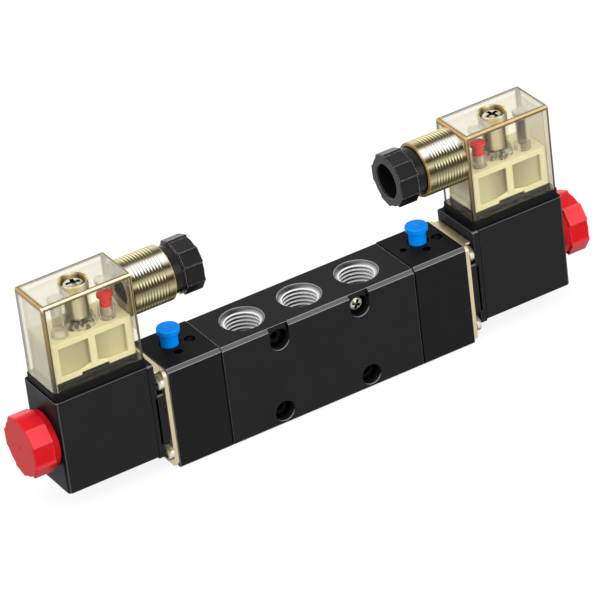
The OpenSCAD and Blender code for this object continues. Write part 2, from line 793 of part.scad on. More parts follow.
module adapter_plate(side) {
    w = body_w / 2 - plate_inset;
    lip_w = w - plate_corner_r - 0.3;
    top = cap_h - plate_inset;
    color(champagne) on_side(side) difference() {
        union() {
            plate_x(cap_end, plate_end, [-w, foot_bevel], [w, top], plate_corner_r);
            box([plate_end - cut, -lip_w, top - lip_t], [plate_end + lip_l, lip_w, top]);
        }
        bar_x(cap_end - cut, plate_end + cut, tube_r + seat_gap, coil_axis_z);
        bar_x(cap_end - cut, cap_end + tube_flange_t + seat_gap, tube_flange_r + seat_gap, coil_axis_z);
        for (y = [-screw_y, screw_y], z = [screw_low_z, screw_high_z])
            bar_x(cap_end - cut, plate_end + cut, screw_shank_r + pass_gap, z, y);
    }
}

module plate_screws(side) {
    color(nickel) on_side(side)
        for (y = [-screw_y, screw_y], z = [screw_low_z, screw_high_z]) {
            difference() {
                bar_x(plate_end, plate_end + screw_head_h, screw_head_r, z, y);
                translate([plate_end + screw_head_h, y, z]) rotate([30, 0, 0]) rotate([0, 90, 0])
                    cross_recess(1.3 * screw_head_r, screw_head_h / 2);
            }
            bar_x(body_end - screw_reach, plate_end + cut / 2, screw_shank_r, z, y);
        }
}

module armature_tube(side) {
    color(steel) on_side(side) {
        difference() {
            union() {
                bar_x(cap_end, cap_end + tube_flange_t, tube_flange_r, coil_axis_z);
                bar_x(cap_end, coil_end, tube_r, coil_axis_z);
            }
            bar_x(cap_end - cut, core_start, tube_bore_r, coil_axis_z);
        }
        bar_x(coil_end - cut, coil_end + stud_l, stud_r, coil_axis_z);
    }
}

module tube_seal(side) {
    color(black_rubber) on_side(side)
        ring_x(cap_end - tube_seal_t, cap_end, tube_flange_r - 0.35, pilot_r + 0.55, coil_axis_z);
}

module plunger(side) {
    color(steel) on_side(side) difference() {
        bar_x(plunger_start, plunger_start + plunger_l, tube_bore_r - run_gap, coil_axis_z);
        bar_x(plunger_start + plunger_l - plunger_pocket_l, plunger_start + plunger_l + cut,
            plunger_pocket_r, coil_axis_z);
    }
}

module plunger_spring(side) {
    start = plunger_start + plunger_l - plunger_pocket_l;
    color(steel) on_side(side) translate([start, 0, coil_axis_z]) rotate([0, 90, 0])
        wire_spring(core_start - start - plunger_stroke - seat_gap, plunger_pocket_r - 2.2 * plunger_wire_r,
            plunger_wire_r, 5);
}

// Coil, drawn for the right-hand side

module bobbin(side) {
    w = coil_w / 2;
    screw_margin = screw_head_r + 1;
    color(black_plastic) on_side(side) difference() {
        union() {
            plate_x(flange_start, coil_start, [-w, coil_bottom - flange_drop], [w, coil_top], coil_round);
            plate_x(plate_end + pass_gap, flange_start + cut, [-w, screw_low_z + screw_margin],
                [w, screw_high_z - screw_margin], coil_round);
            bar_x(coil_start - cut, bobbin_end, bobbin_r, coil_axis_z);
            bar_x(bobbin_end - bobbin_flange_t, bobbin_end, winding_r, coil_axis_z);
        }
        bar_x(plate_end, bobbin_end + cut, tube_r + run_gap, coil_axis_z);
    }
}

module coil_winding(side) {
    color(copper) on_side(side)
        ring_x(coil_start + yoke_t + 2 * seat_gap, bobbin_end - bobbin_flange_t - seat_gap,
            winding_r, bobbin_r + seat_gap, coil_axis_z);
}

module yoke(side) {
    outer_start = bobbin_end + seat_gap;
    half = strap_low + yoke_strap_t;
    color(steel) on_side(side) {
        difference() {
            box([coil_start, -winding_r, coil_axis_z - half],
                [coil_start + yoke_t, winding_r, coil_axis_z + half]);
            bar_x(coil_start - cut, coil_start + yoke_t + cut, bobbin_r + seat_gap, coil_axis_z);
        }
        difference() {
            box([outer_start, -winding_r, coil_axis_z - half],
                [outer_start + yoke_t, winding_r, coil_axis_z + half]);
            bar_x(outer_start - cut, outer_start + yoke_t + cut, tube_r + seat_gap, coil_axis_z);
        }
        for (low = [-half, strap_low])
            box([coil_start, -winding_r / 2, coil_axis_z + low],
                [outer_start + yoke_t, winding_r / 2, coil_axis_z + low + yoke_strap_t]);
    }
}

module coil_shell(side) {
    w = coil_w / 2;
    color(black_plastic) on_side(side) difference() {
        plate_x(coil_start, coil_end, [-w, coil_bottom], [w, coil_top], coil_round);
        box([coil_start - cut, -cavity_half_w, coil_axis_z - cavity_half_h],
            [coil_end - coil_end_wall, cavity_half_w, coil_axis_z + cavity_half_h]);
        bar_x(coil_end - coil_end_wall - cut, coil_end + cut, tube_r + seat_gap, coil_axis_z);
        for (x = blade_xs)
            blade(x, coil_top - blade_root, cut, seat_gap);
        translate([screw_x, 0, coil_top - cs_reach - seat_gap])
            cylinder(h = cs_reach + seat_gap + cut, r = cs_shank_r + run_gap);
    }
}

// How deep a contact blade is rooted in the coil
blade_root = 4.5;

// Contact blade or its slot, from a height to a distance above the coil's top
module blade(x, bottom, rise, grow) {
    box([x - blade_t / 2 - grow, -blade_w / 2 - grow, bottom - grow],
        [x + blade_t / 2 + grow, blade_w / 2 + grow, coil_top + rise]);
}

module terminal_blades(side) {
    color(brass) on_side(side)
        for (x = blade_xs)
            blade(x, coil_top - blade_root, blade_rise, 0);
}

module coil_nut(side) {
    start = coil_end + seat_gap;
    face = start + nut_collar_l + nut_rib_l;
    color(signal_red) on_side(side) difference() {
        union() {
            bar_x(start, start + nut_collar_l + cut, nut_valley_r - nut_collar_step, coil_axis_z);
            translate([start + nut_collar_l, 0, coil_axis_z]) rotate([90, 0, 90])
                linear_extrude(nut_rib_l) ribbed_outline(nut_ribs, nut_rib_r, nut_valley_r);
        }
        bar_x(start - cut, coil_end + stud_l + 2 * seat_gap, stud_r + run_gap, coil_axis_z);
        bar_x(face - 0.4, face + cut, 0.5, coil_axis_z);
    }
}

// Connector, drawn for the right-hand side

// Upright box with round corners, shrunk by an inset all round
module cover_block(inset, bottom, top, r) {
    translate([0, 0, bottom]) linear_extrude(top - bottom)
        round_rect([cover_start + inset, -cover_w / 2 + inset], [cover_end - inset, cover_w / 2 - inset], r);
}

module connector_base(side) {
    color(black_rubber) on_side(side) difference() {
        union() {
            cover_block(-base_lip, coil_top, cover_bottom, cover_round);
            cover_block(cover_wall + seat_gap, cover_bottom - cut, block_bottom, cover_round / 2);
            sill_step(-seat_gap);
        }
        for (x = blade_xs)
            blade(x, coil_top - cut, blade_rise, 2 * seat_gap);
        translate([screw_x, 0, coil_top - cut])
            cylinder(h = base_t + base_upstand + sill_h + 2 * cut, r = cs_shank_r + pass_gap);
    }
}

// Step under the middle of the terminal block, filled by the base gasket
module sill_step(grow) {
    box([screw_x - step_l / 2 - grow, -block_half_w - (grow > 0 ? cut : 0), block_bottom - cut],
        [screw_x + step_l / 2 + grow, block_half_w + (grow > 0 ? cut : 0), block_bottom + sill_h / 2]);
}

module terminal_block(side) {
    color(cream) on_side(side) difference() {
        box([block_start, -block_half_w, block_bottom], [block_end, block_half_w, block_top]);
        sill_step(seat_gap);
        for (turn = [0, 180])
            translate([screw_x, 0, 0]) rotate([0, 0, turn]) block_panels();
        for (x = blade_xs)
            blade(x, block_bottom - cut, blade_rise + pass_gap, 2 * seat_gap);
        translate([screw_x, 0, block_bottom - cut])
            cylinder(h = block_h + 2 * cut, r = cs_shank_r + pass_gap);
    }
}

// The two recessed panels in one long face of the block, about its middle
module block_panels() {
    half_l = (block_end - block_start) / 2;
    for (side = [-1, 1])
        mirror([side < 0 ? 1 : 0, 0, 0])
            box([rib_w / 2, -block_half_w - cut, block_bottom + sill_h],
                [half_l - post_w, -block_half_w + panel_depth, block_top - rail_h]);
}

module connector_cover(side) {
    color(amber_clear) on_side(side) difference() {
        union() {
            difference() {
                cover_block(0, cover_bottom, cover_top, cover_round);
                cover_block(cover_wall, cover_bottom - cut, lid_bottom, cover_round / 2);
            }
            bar_x(gland_rim, cover_start + cut / 2, gland_r, gland_z);
            translate([screw_x, 0, 0]) {
                translate([0, 0, block_top]) cylinder(h = cover_top - block_top, r = well_r);
                translate([0, 0, block_top]) cylinder(h = 2, r1 = well_foot_r, r2 = well_foot_r - 0.6);
            }
        }
        gland_void();
        translate([screw_x, 0, well_floor]) cylinder(h = cover_top, r = well_r - well_wall);
        translate([screw_x, 0, block_top - cut]) cylinder(h = 2, r = cs_shank_r + pass_gap);
    }
}

// Threaded inside of the gland tube, with the cable's way through the end wall
module gland_void() {
    lead = 3.2;
    translate([gland_rim, 0, gland_z]) rotate([0, 90, 0]) rotate_extrude() polygon(concat(
        [[0, -cut], [gland_minor_r, -cut]],
        thread_points(gland_minor_r, gland_major_r, gland_thread_pitch, gland_turns, lead),
        [
            [gland_minor_r, lead + gland_turns * gland_thread_pitch],
            [gland_minor_r, gland_l - gland_floor],
            [wire_way_r, gland_l - gland_floor],
            [wire_way_r, gland_l + cover_wall + cut],
            [0, gland_l + cover_wall + cut],
        ]
    ));
}

module connector_screw(side) {
    head_top = cover_top - cs_sink;
    seat = well_floor + cs_body_up;
    foot = coil_top - cs_reach;
    color(nickel) on_side(side) translate([screw_x, 0, 0]) {
        difference() {
            translate([0, 0, head_top - cs_head_h]) cylinder(h = cs_head_h, r = cs_head_r);
            translate([0, 0, head_top]) cross_recess(1.3 * cs_head_r, cs_head_h * 0.6);
        }
        translate([0, 0, seat]) cylinder(h = head_top - cs_head_h + cut / 2 - seat, r = cs_body_r);
        translate([0, 0, foot]) cylinder(h = seat + cut - foot, r = cs_shank_r);
    }
}

module indicator_lamp(side) {
    bottom = block_top + 1;
    color(signal_red) on_side(side) translate([lamp_x, -light_dy, bottom]) {
        cylinder(h = lamp_h, r = lamp_r);
        translate([0, 0, lamp_h]) cylinder(h = lamp_rim_h, r = lamp_rim_r);
        translate([0, 0, lamp_h + lamp_rim_h]) cylinder(h = 0.6, r1 = lamp_r, r2 = lamp_r * 0.6);
    }
}

module light_pipes(side) {
    color(clear) on_side(side) {
        translate([lamp_x, -light_dy, 0]) {
            difference() {
                translate([0, 0, block_top]) cylinder(h = 1 + lamp_ring_h, r = ring_r);
                translate([0, 0, block_top + 1]) cylinder(h = lamp_ring_h + cut, r = lamp_r + seat_gap);
            }
            translate([0, 0, lid_bottom - lens_t]) cylinder(h = lens_t, r = lens_r);
        }
        translate([pipe_x, -light_dy, 0]) {
            translate([0, 0, block_top]) cylinder(h = pipe_ring_h, r = ring_r);
            translate([0, 0, block_top]) cylinder(h = lid_bottom - block_top, r = pipe_r);
            translate([0, 0, lid_bottom - lens_t]) cylinder(h = lens_t, r = lens_r);
        }
    }
}

module gland_seal(side) {
    end = gland_rim + gnut_spigot_l + gland_seal_l;
    color(black_rubber) on_side(side)
        ring_x(gland_rim + gnut_spigot_l + seat_gap, end, gland_minor_r - run_gap, gland_seal_r, gland_z);
}

module gland_nut(side) {
    color(black_plastic) on_side(side) difference() {
        union() {
            translate([gnut_face, 0, gland_z]) rotate([90, 0, 90])
                linear_extrude(gnut_l) ribbed_outline(gnut_ribs, gnut_rib_r, gnut_valley_r);
            bar_x(gnut_face + gnut_l - cut, gland_rim + gnut_spigot_l, gland_minor_r - run_gap, gland_z);
        }
        bar_x(gnut_face - cut, gland_rim + gnut_spigot_l + cut, cable_r, gland_z);
    }
}

valve_body();
spool();
spool_seals();
lock_screw();
cap_gasket(-1);  // left_cap_gasket
pilot_cap(-1);  // left_pilot_cap
piston(-1);  // left_piston
piston_seal(-1);  // left_piston_seal
override_pin(-1);  // left_override_pin
override_spring(-1);  // left_override_spring
override_button(-1);  // left_override_button
adapter_plate(-1);  // left_adapter_plate
plate_screws(-1);  // left_plate_screws
armature_tube(-1);  // left_armature_tube
tube_seal(-1);  // left_tube_seal
plunger(-1);  // left_plunger
plunger_spring(-1);  // left_plunger_spring
bobbin(-1);  // left_bobbin
coil_winding(-1);  // left_coil_winding
yoke(-1);  // left_yoke
coil_shell(-1);  // left_coil_shell
terminal_blades(-1);  // left_terminal_blades
coil_nut(-1);  // left_coil_nut
connector_base(-1);  // left_connector_base
terminal_block(-1);  // left_terminal_block
connector_cover(-1);  // left_connector_cover
connector_screw(-1);  // left_connector_screw
indicator_lamp(-1);  // left_indicator_lamp
light_pipes(-1);  // left_light_pipes
gland_seal(-1);  // left_gland_seal
gland_nut(-1);  // left_gland_nut
cap_gasket(1);  // right_cap_gasket
pilot_cap(1);  // right_pilot_cap
piston(1);  // right_piston
piston_seal(1);  // right_piston_seal
override_pin(1);  // right_override_pin
override_spring(1);  // right_override_spring
override_button(1);  // right_override_button
adapter_plate(1);  // right_adapter_plate
plate_screws(1);  // right_plate_screws
armature_tube(1);  // right_armature_tube
tube_seal(1);  // right_tube_seal
plunger(1);  // right_plunger
plunger_spring(1);  // right_plunger_spring
bobbin(1);  // right_bobbin
coil_winding(1);  // right_coil_winding
yoke(1);  // right_yoke
coil_shell(1);  // right_coil_shell
terminal_blades(1);  // right_terminal_blades
coil_nut(1);  // right_coil_nut
connector_base(1);  // right_connector_base
terminal_block(1);  // right_terminal_block
connector_cover(1);  // right_connector_cover
connector_screw(1);  // right_connector_screw
indicator_lamp(1);  // right_indicator_lamp
light_pipes(1);  // right_light_pipes
gland_seal(1);  // right_gland_seal
gland_nut(1);  // right_gland_nut
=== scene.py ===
"""Looks of a five-port solenoid valve with a coil and a plug connector at each end.

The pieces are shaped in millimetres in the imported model's own frame, +X along the valve, +Z up and the
front at -Y, and are handed over in metres. Each end is shaped once as the right-hand end and mirrored.
"""
import logging
import math
from dataclasses import dataclass
from enum import Enum
from typing import Iterable, Mapping, Sequence

import bmesh
import bpy
from mathutils import Matrix, Vector


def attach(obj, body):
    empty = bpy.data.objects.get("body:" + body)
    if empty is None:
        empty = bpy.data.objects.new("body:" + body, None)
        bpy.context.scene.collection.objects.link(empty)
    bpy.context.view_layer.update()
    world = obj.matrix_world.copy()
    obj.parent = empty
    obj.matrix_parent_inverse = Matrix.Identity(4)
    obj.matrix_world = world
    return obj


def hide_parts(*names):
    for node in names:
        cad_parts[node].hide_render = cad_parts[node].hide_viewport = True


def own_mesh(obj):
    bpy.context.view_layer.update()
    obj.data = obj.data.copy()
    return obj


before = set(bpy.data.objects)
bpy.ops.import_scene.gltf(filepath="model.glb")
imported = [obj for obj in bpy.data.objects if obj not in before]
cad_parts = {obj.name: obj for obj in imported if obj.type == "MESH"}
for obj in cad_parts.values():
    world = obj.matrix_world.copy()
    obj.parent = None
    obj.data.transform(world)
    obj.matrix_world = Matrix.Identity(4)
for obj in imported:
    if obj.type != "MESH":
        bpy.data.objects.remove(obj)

log = logging.getLogger("solenoid_valve")
MM = 0.001
Point = tuple[float, float]
Place = tuple[float, float, float]
Colour = tuple[float, float, float]
Stops = Sequence[tuple[float, Colour]]
Socket = bpy.types.NodeSocket
Look = tuple[Socket, "Number"]
Element = bmesh.types.BMVert | bmesh.types.BMEdge | bmesh.types.BMFace
BLACK = (0.0, 0.0, 0.0)
WHITE = (1.0, 1.0, 1.0)
MERGE_DISTANCE = 1e-4
SHARP_ANGLE = math.radians(12)
GRAIN_DEPTH = 0.2
EDGE_GAIN = 14.0
RIM_SEGMENTS = 4
WIRE_FACETS = 8
SPRING_STEPS = 24


class Side(Enum):
    """An end of the valve."""

    LEFT = "left"
    RIGHT = "right"


class Axis(Enum):
    """A direction along which a form is turned or drawn out."""

    X = (1.0, 0.0, 0.0)
    Y = (0.0, 1.0, 0.0)
    Z = (0.0, 0.0, 1.0)

    def place(self, along: float, across: float, up: float = 0.0) -> Vector:
        """Gives the point that lies along the axis, with its two other coordinates.

        Args:
            along: Distance along the axis.
            across: First coordinate across it, in X, Y, Z order.
            up: Second coordinate across it.

        Returns:
            The point.
        """
        if self is Axis.X:
            return Vector((along, across, up))
        if self is Axis.Y:
            return Vector((across, along, up))
        return Vector((across, up, along))


class Number:
    """A socket of one number that takes part in Python expressions."""

    def __init__(self, graph: "Graph", socket: Socket) -> None:
        """Wraps a socket of a graph."""
        self.graph = graph
        self.socket = socket

    def _math(self, operation: str, first: object, second: object = 0.0, clamp: bool = False) -> "Number":
        """Adds one Math node.

        Args:
            operation: The Math node's operation.
            first: Its first value.
            second: Its second value.
            clamp: Whether the result is kept between 0 and 1.

        Returns:
            The result.
        """
        made = self.graph.node(
            "ShaderNodeMath", {"operation": operation, "use_clamp": clamp}, {0: first, 1: second}
        )
        return Number(self.graph, made.outputs[0])

    def __add__(self, other: object) -> "Number":
        """Adds."""
        return self._math("ADD", self, other)

    __radd__ = __add__

    def __sub__(self, other: object) -> "Number":
        """Subtracts."""
        return self._math("SUBTRACT", self, other)

    def __rsub__(self, other: object) -> "Number":
        """Subtracts this from a number."""
        return self._math("SUBTRACT", other, self)

    def __mul__(self, other: object) -> "Number":
        """Multiplies."""
        return self._math("MULTIPLY", self, other)

    __rmul__ = __mul__

    def __pow__(self, other: object) -> "Number":
        """Raises to a power."""
        return self._math("POWER", self, other)

    def __gt__(self, other: object) -> "Number":
        """Is 1 where this is greater."""
        return self._math("GREATER_THAN", self, other)

    def __lt__(self, other: object) -> "Number":
        """Is 1 where this is less."""
        return self._math("LESS_THAN", self, other)

    def __abs__(self) -> "Number":
        """Takes the sign away."""
        return self._math("ABSOLUTE", self)

    def least(self, other: object) -> "Number":
        """Takes the smaller of two."""
        return self._math("MINIMUM", self, other)

    def most(self, other: object) -> "Number":
        """Takes the larger of two."""
        return self._math("MAXIMUM", self, other)

    def within(self, low: float, high: float) -> "Number":
        """Is 1 between two values."""
        return (self > low) * (self < high)

    def rising(self, low: float, high: float) -> "Number":
        """Rises from 0 to 1 between two values."""
        return ((self - low) * (1.0 / (high - low))).clamped()

    def beside(self, other: "Number") -> "Number":
        """Gives how far a point with these two coordinates is from their origin."""
        return (self * self + other * other) ** 0.5

    def part_turn(self, across: "Number") -> "Number":
        """Takes the angle of a point as a part of a full turn, with itself as the second coordinate."""
        angle = self._math("ARCTAN2", self, across) * (0.5 / math.pi)
        return angle + (angle < 0.0)

    def sine(self) -> "Number":
        """Takes the sine."""
        return self._math("SINE", self)

    def clamped(self) -> "Number":
        """Keeps the value between 0 and 1."""
        return self._math("ADD", self, 0.0, clamp=True)


class Graph:
    """The node tree of one material or of the world."""

    def __init__(self, owner: bpy.types.ID) -> None:
        """Empties the owner's tree.

        Args:
            owner: A material or a world.
        """
        owner.use_nodes = True
        self.tree = owner.node_tree
        self.tree.nodes.clear()

    def node(
        self,
        kind: str,
        settings: Mapping[str, object] | None = None,
        inputs: Mapping[str | int, object] | None = None,
    ) -> bpy.types.Node:
        """Adds any node.

        Args:
            kind: The node's type.
            settings: Its properties, set first.
            inputs: Values, sockets or Numbers for its inputs.

        Returns:
            The node.
        """
        made = self.tree.nodes.new(kind)
        for name, value in (settings or {}).items():
            if name == "stops":
                self._stops(made.color_ramp, value)
            else:
                setattr(made, name, value)
        for name, value in (inputs or {}).items():
            if isinstance(value, Number):
                value = value.socket
            if isinstance(value, Socket):
                self.tree.links.new(value, made.inputs[name])
            elif isinstance(value, tuple) and made.inputs[name].type == "RGBA":
                made.inputs[name].default_value = (*value, 1.0)
            else:
                made.inputs[name].default_value = value
        return made

    @staticmethod
    def _stops(ramp: bpy.types.ColorRamp, stops: Stops) -> None:
        """Sets a ramp's stops.

        Args:
            ramp: The ramp.
            stops: Place and colour of each stop, in order.
        """
        ramp.elements.remove(ramp.elements[1])
        first, *others = stops
        ramp.elements[0].position = first[0]
        ramp.elements[0].color = (*first[1], 1.0)
        for place, colour in others:
            ramp.elements.new(place).color = (*colour, 1.0)

    def number(self, node: bpy.types.Node, output: str | int = 0) -> Number:
        """Takes an output as a Number."""
        return Number(self, node.outputs[output])

    def place(self) -> Socket:
        """Gives the object coordinates, in metres."""
        return self.node("ShaderNodeTexCoord").outputs["Object"]

    def axes(self, vector: Socket, scale: float = 1.0) -> tuple[Number, Number, Number]:
        """Splits a vector.

        Args:
            vector: The vector's socket.
            scale: What each part is multiplied by.

        Returns:
            Its X, Y and Z.
        """
        split = self.node("ShaderNodeSeparateXYZ", inputs={0: vector})
        parts = tuple(Number(self, output) for output in split.outputs)
        return parts if scale == 1.0 else tuple(part * scale for part in parts)

    def millimetres(self) -> tuple[Number, Number, Number]:
        """Gives the object coordinates in millimetres."""
        return self.axes(self.place(), 1.0 / MM)

    def normal(self) -> tuple[Number, Number, Number]:
        """Gives the direction that the surface faces."""
        return self.axes(self.node("ShaderNodeNewGeometry").outputs["Normal"])

    def edge_on(self) -> Number:
        """Rises from 0 where a clear surface is seen face on to 1 where it is seen edge on."""
        return self.number(self.node("ShaderNodeLayerWeight", inputs={"Blend": 0.5}), "Facing")

    def ramp(self, stops: Stops, value: Number) -> Socket:
        """Turns a value from 0 to 1 into a colour by its stops."""
        return self.node("ShaderNodeValToRGB", {"stops": stops}, {0: value}).outputs[0]

    def noise(self, size_mm: float, detail: float = 2.0, stretch: Place = (1.0, 1.0, 1.0)) -> Number:
        """Makes noise on the object coordinates.

        Args:
            size_mm: Size of its blotches.
            detail: Octaves of finer noise.
            stretch: How much coarser it is along X, Y and Z.

        Returns:
            A value around 0.5.
        """
        scaled = self.node(
            "ShaderNodeVectorMath",
            {"operation": "DIVIDE"},
            {0: self.place(), 1: tuple(size_mm * MM * part for part in stretch)},
        )
        made = self.node(
            "ShaderNodeTexNoise",
            {"noise_dimensions": "3D"},
            {"Vector": scaled.outputs[0], "Scale": 1.0, "Detail": detail, "Roughness": 0.55},
        )
        return self.number(made, "Fac")

    def mix(self, factor: object, first: object, second: object, blend: str = "MIX") -> Socket:
        """Mixes two colours.

        Args:
            factor: 0 for the first colour, 1 for the second.
            first: A colour or a socket.
            second: A colour or a socket.
            blend: How the second is laid over the first.

        Returns:
            The mixed colour.
        """
        settings = {"data_type": "RGBA", "blend_type": blend}
        return self.node("ShaderNodeMix", settings, {0: factor, 6: first, 7: second}).outputs[2]

    def occlusion_shade(self, size_mm: float) -> Number:
        """Finds the insides of holes and recesses, where shade is painted.

        Args:
            size_mm: How far the walls of a hollow may be.

        Returns:
            A mask that is 1 deep in a hollow and 0 on an open face.
        """
        made = self.node(
            "ShaderNodeAmbientOcclusion", {"samples": 8, "only_local": True}, {"Distance": size_mm * MM}
        )
        return 1.0 - self.number(made, "AO")

    def rounded_edge_highlight(self, radius_mm: float) -> Look:
        """Rounds the shading at edges and finds them, for a painted highlight along them.

        Args:
            radius_mm: Radius of the rounding.

        Returns:
            The rounded normal, and a mask that is 1 at an edge.
        """
        rounded = self.node("ShaderNodeBevel", {"samples": 6}, {"Radius": radius_mm * MM}).outputs[0]
        flat = self.node("ShaderNodeNewGeometry").outputs["Normal"]
        along = self.node("ShaderNodeVectorMath", {"operation": "DOT_PRODUCT"}, {0: rounded, 1: flat})
        return rounded, ((1.0 - self.number(along, 1)) * EDGE_GAIN).clamped()


def tinted(colour: Colour, factor: float) -> Colour:
    """Makes a colour lighter or darker by a factor."""
    return tuple(part * factor for part in colour)


@dataclass(frozen=True)
class Finish:
    """A surface: its colours, gloss and grain, with a painted highlight along its edges and painted shade in
    its hollows.
    """

    name: str
    slot: str
    colour: Colour
    shade: Colour
    roughness: float
    spread: float = 0.08
    metallic: float = 0.0
    specular: float = 0.5
    coat: float = 0.0
    grain_mm: float = 0.35
    bump: float = 0.12
    patch_mm: float = 7.0
    stretch: Place = (1.0, 1.0, 1.0)
    edge_mm: float = 0.0
    # Painted highlight along the rounded edges: its colour and its strength.
    edge_highlight_colour: Colour = (0.5, 0.5, 0.5)
    edge_highlight_strength: float = 0.0
    gloss_tint: Colour = WHITE
    # Painted shade in hollows: how far the walls may be, the shade's colour and its strength.
    hollow_shade_mm: float = 0.0
    hollow_shade_colour: Colour = BLACK
    hollow_shade_strength: float = 1.6
    # A painted glow: the surface gives off some of its own colour as light, though it is no lamp.
    glow: float = 0.0

    def material(self) -> bpy.types.Material:
        """Gives the material, made on first use."""
        found = bpy.data.materials.get(self.name)
        if found:
            return found
        made = bpy.data.materials.new(self.name)
        graph = Graph(made)
        graph.node("ShaderNodeOutputMaterial", inputs={"Surface": self.surface(graph)})
        return made

    def surface(self, graph: Graph) -> Socket:
        """Builds the shader.

        Args:
            graph: The material's tree.

        Returns:
            The shader's output.
        """
        patches = graph.noise(self.patch_mm, 3.0)
        grain = graph.noise(self.grain_mm, 2.0, self.stretch)
        colour = graph.mix(self.tone(graph, patches, grain), self.colour, self.shade)
        roughness = (self.roughness + (patches - 0.5) * self.spread + (grain - 0.5) * self.spread).clamped()
        normal = None
        # Paints a highlight along the rounded edges.
        if self.edge_mm:
            normal, edge = graph.rounded_edge_highlight(self.edge_mm)
            edge_highlight = (edge * self.edge_highlight_strength * (0.55 + patches * 0.9) * self.edge_highlight_places(graph)).clamped()
            colour = graph.mix(edge_highlight, colour, self.edge_highlight_colour)
        # Paints shade deep in hollows and recesses.
        if self.hollow_shade_mm:
            deep = (graph.occlusion_shade(self.hollow_shade_mm) * self.hollow_shade_strength).clamped()
            colour = graph.mix(deep, colour, self.hollow_shade_colour)
        colour, roughness = self.dressed(graph, colour, roughness)
        inputs = {"Height": grain, "Strength": self.bump, "Distance": GRAIN_DEPTH * MM * self.grain_mm}
        if normal is not None:
            inputs["Normal"] = normal
        bumped = graph.node("ShaderNodeBump", inputs=inputs)
        return graph.node(
            "ShaderNodeBsdfPrincipled",
            inputs={
                "Base Color": colour,
                "Roughness": roughness,
                "Metallic": self.metallic,
                "Specular IOR Level": self.specular,
                "Specular Tint": self.gloss_tint,
                "Coat Weight": self.coat,
                "Coat Roughness": 0.08,
                # The emission is the painted glow, off unless glow is set.
                "Emission Color": colour,
                "Emission Strength": self.glow,
                "Normal": bumped.outputs[0],
            },
        ).outputs[0]

    def tone(self, graph: Graph, patches: Number, grain: Number) -> Number:
        """Says where the second tint shows, from 0 to 1."""
        return (patches * 0.7 + grain * 0.3).clamped()

    def edge_highlight_places(self, graph: Graph) -> Number | float:
        """Says where the painted edge highlight shows, from 0 to 1; a plain finish paints it on all edges."""
        return 1.0

    def dressed(self, graph: Graph, colour: Socket, roughness: Number) -> Look:
        """Adds what only one finish has; a plain finish adds nothing."""
        return colour, roughness


@dataclass(frozen=True)
class BevelledFinish(Finish):
    """An anodised finish with a painted sheen and highlight lines on its machined bevels, and painted shade
    on its tops and in its recesses.
    """

    specular: float = 0.03
    grain_mm: float = 0.22
    bump: float = 0.2
    edge_mm: float = 0.2
    # Settings of the painted edge highlight and of the painted shade in hollows.
    edge_highlight_colour: Colour = (0.60, 0.60, 0.60)
    edge_highlight_strength: float = 1.0
    gloss_tint: Colour = (0.28, 0.28, 0.28)
    hollow_shade_mm: float = 3.0
    hollow_shade_strength: float = 1.8
    # Painted sheen on the long bevels, with painted highlight lines along their borders.
    bevel_sheen_colour: Colour = (0.092, 0.092, 0.094)
    bevel_highlight_line: Colour = (0.32, 0.32, 0.33)
    bevel_from: float = 10.3
    bevel_highlight_places: Point = (10.52, 11.36)
    outline_from: float = 10.2
    foot: float = 0.8
    joints: Point = (35.2, 54.5)
    joint_reach: float = 0.5
    joint_lip: float = 0.05
    upright_reach: float = 0.6
    upright_top: float = 33.4
    recess_room: Point = (33.2, 34.95)
    # Painted shade on upward faces; the recess floors and the ovals get painted shade too.
    top_shade: float = 0.0
    ovals: tuple[Point, ...] = ((51.45, 0.2), (-39.65, 0.2))
    oval_radius: float = 1.7

    def edge_highlight_places(self, graph: Graph) -> Number | float:
        """Keeps the painted edge highlight to the outline and the joints, so that small recesses stay dark.
        """
        along, back, height = graph.millimetres()
        along = abs(along)
        shown = (abs(back) > self.outline_from) + (height < self.foot)
        first, last = self.joints
        shown = shown + along.within(first - self.joint_reach, first + self.joint_lip)
        shown = shown + along.within(last - self.joint_reach, last + self.joint_reach)
        upright = along.within(first - self.upright_reach, first + self.upright_reach)
        upright = upright * (height < self.upright_top)
        past = along.within(first + self.joint_lip, first + self.upright_reach)
        return shown.clamped() * (1.0 - upright * 0.75) * (1.0 - past)

    def dressed(self, graph: Graph, colour: Socket, roughness: Number) -> Look:
        """Paints a sheen and highlight lines on the long bevels, which face both sideways and up, and scores
        them along the valve; paints shade on the tops, the recess floors and the ovals, and darkens the joint
        on the front and back.
        """
        _, across, up = graph.normal()
        along, back, height = graph.millimetres()
        first, level = self.joints[0], up > 0.9
        bevel = (abs(across) > 0.45) * (up > 0.45) * (abs(back) > self.bevel_from)
        seam = (abs(across) > 0.9) * abs(along).within(first - 0.05, first + 0.45)
        # Painted shade on the floors of the caps' recesses and in dark ovals.
        recess = level * height.within(*self.recess_room) * (abs(along) > first)
        for x, y in self.ovals:
            oval = (along - x).beside(back - y).rising(self.oval_radius, self.oval_radius - 0.25)
            recess = recess + oval * level * 1.2
        shade = (seam + level * self.top_shade + recess * 0.6).clamped()
        colour = graph.mix(shade, colour, BLACK)
        scored = graph.noise(0.12, 2.0, (60.0, 1.0, 1.0))
        # Painted sheen on the bevels, with painted highlight lines at their borders.
        pale_highlight = graph.mix(scored, self.bevel_sheen_colour, tinted(self.bevel_sheen_colour, 1.25))
        inner, outer = self.bevel_highlight_places
        border = bevel * ((abs(back) > outer) + (abs(back) < inner)).clamped()
        lined = graph.mix(border * 0.7, pale_highlight, self.bevel_highlight_line)
        return graph.mix(bevel, colour, lined), roughness - bevel * 0.06


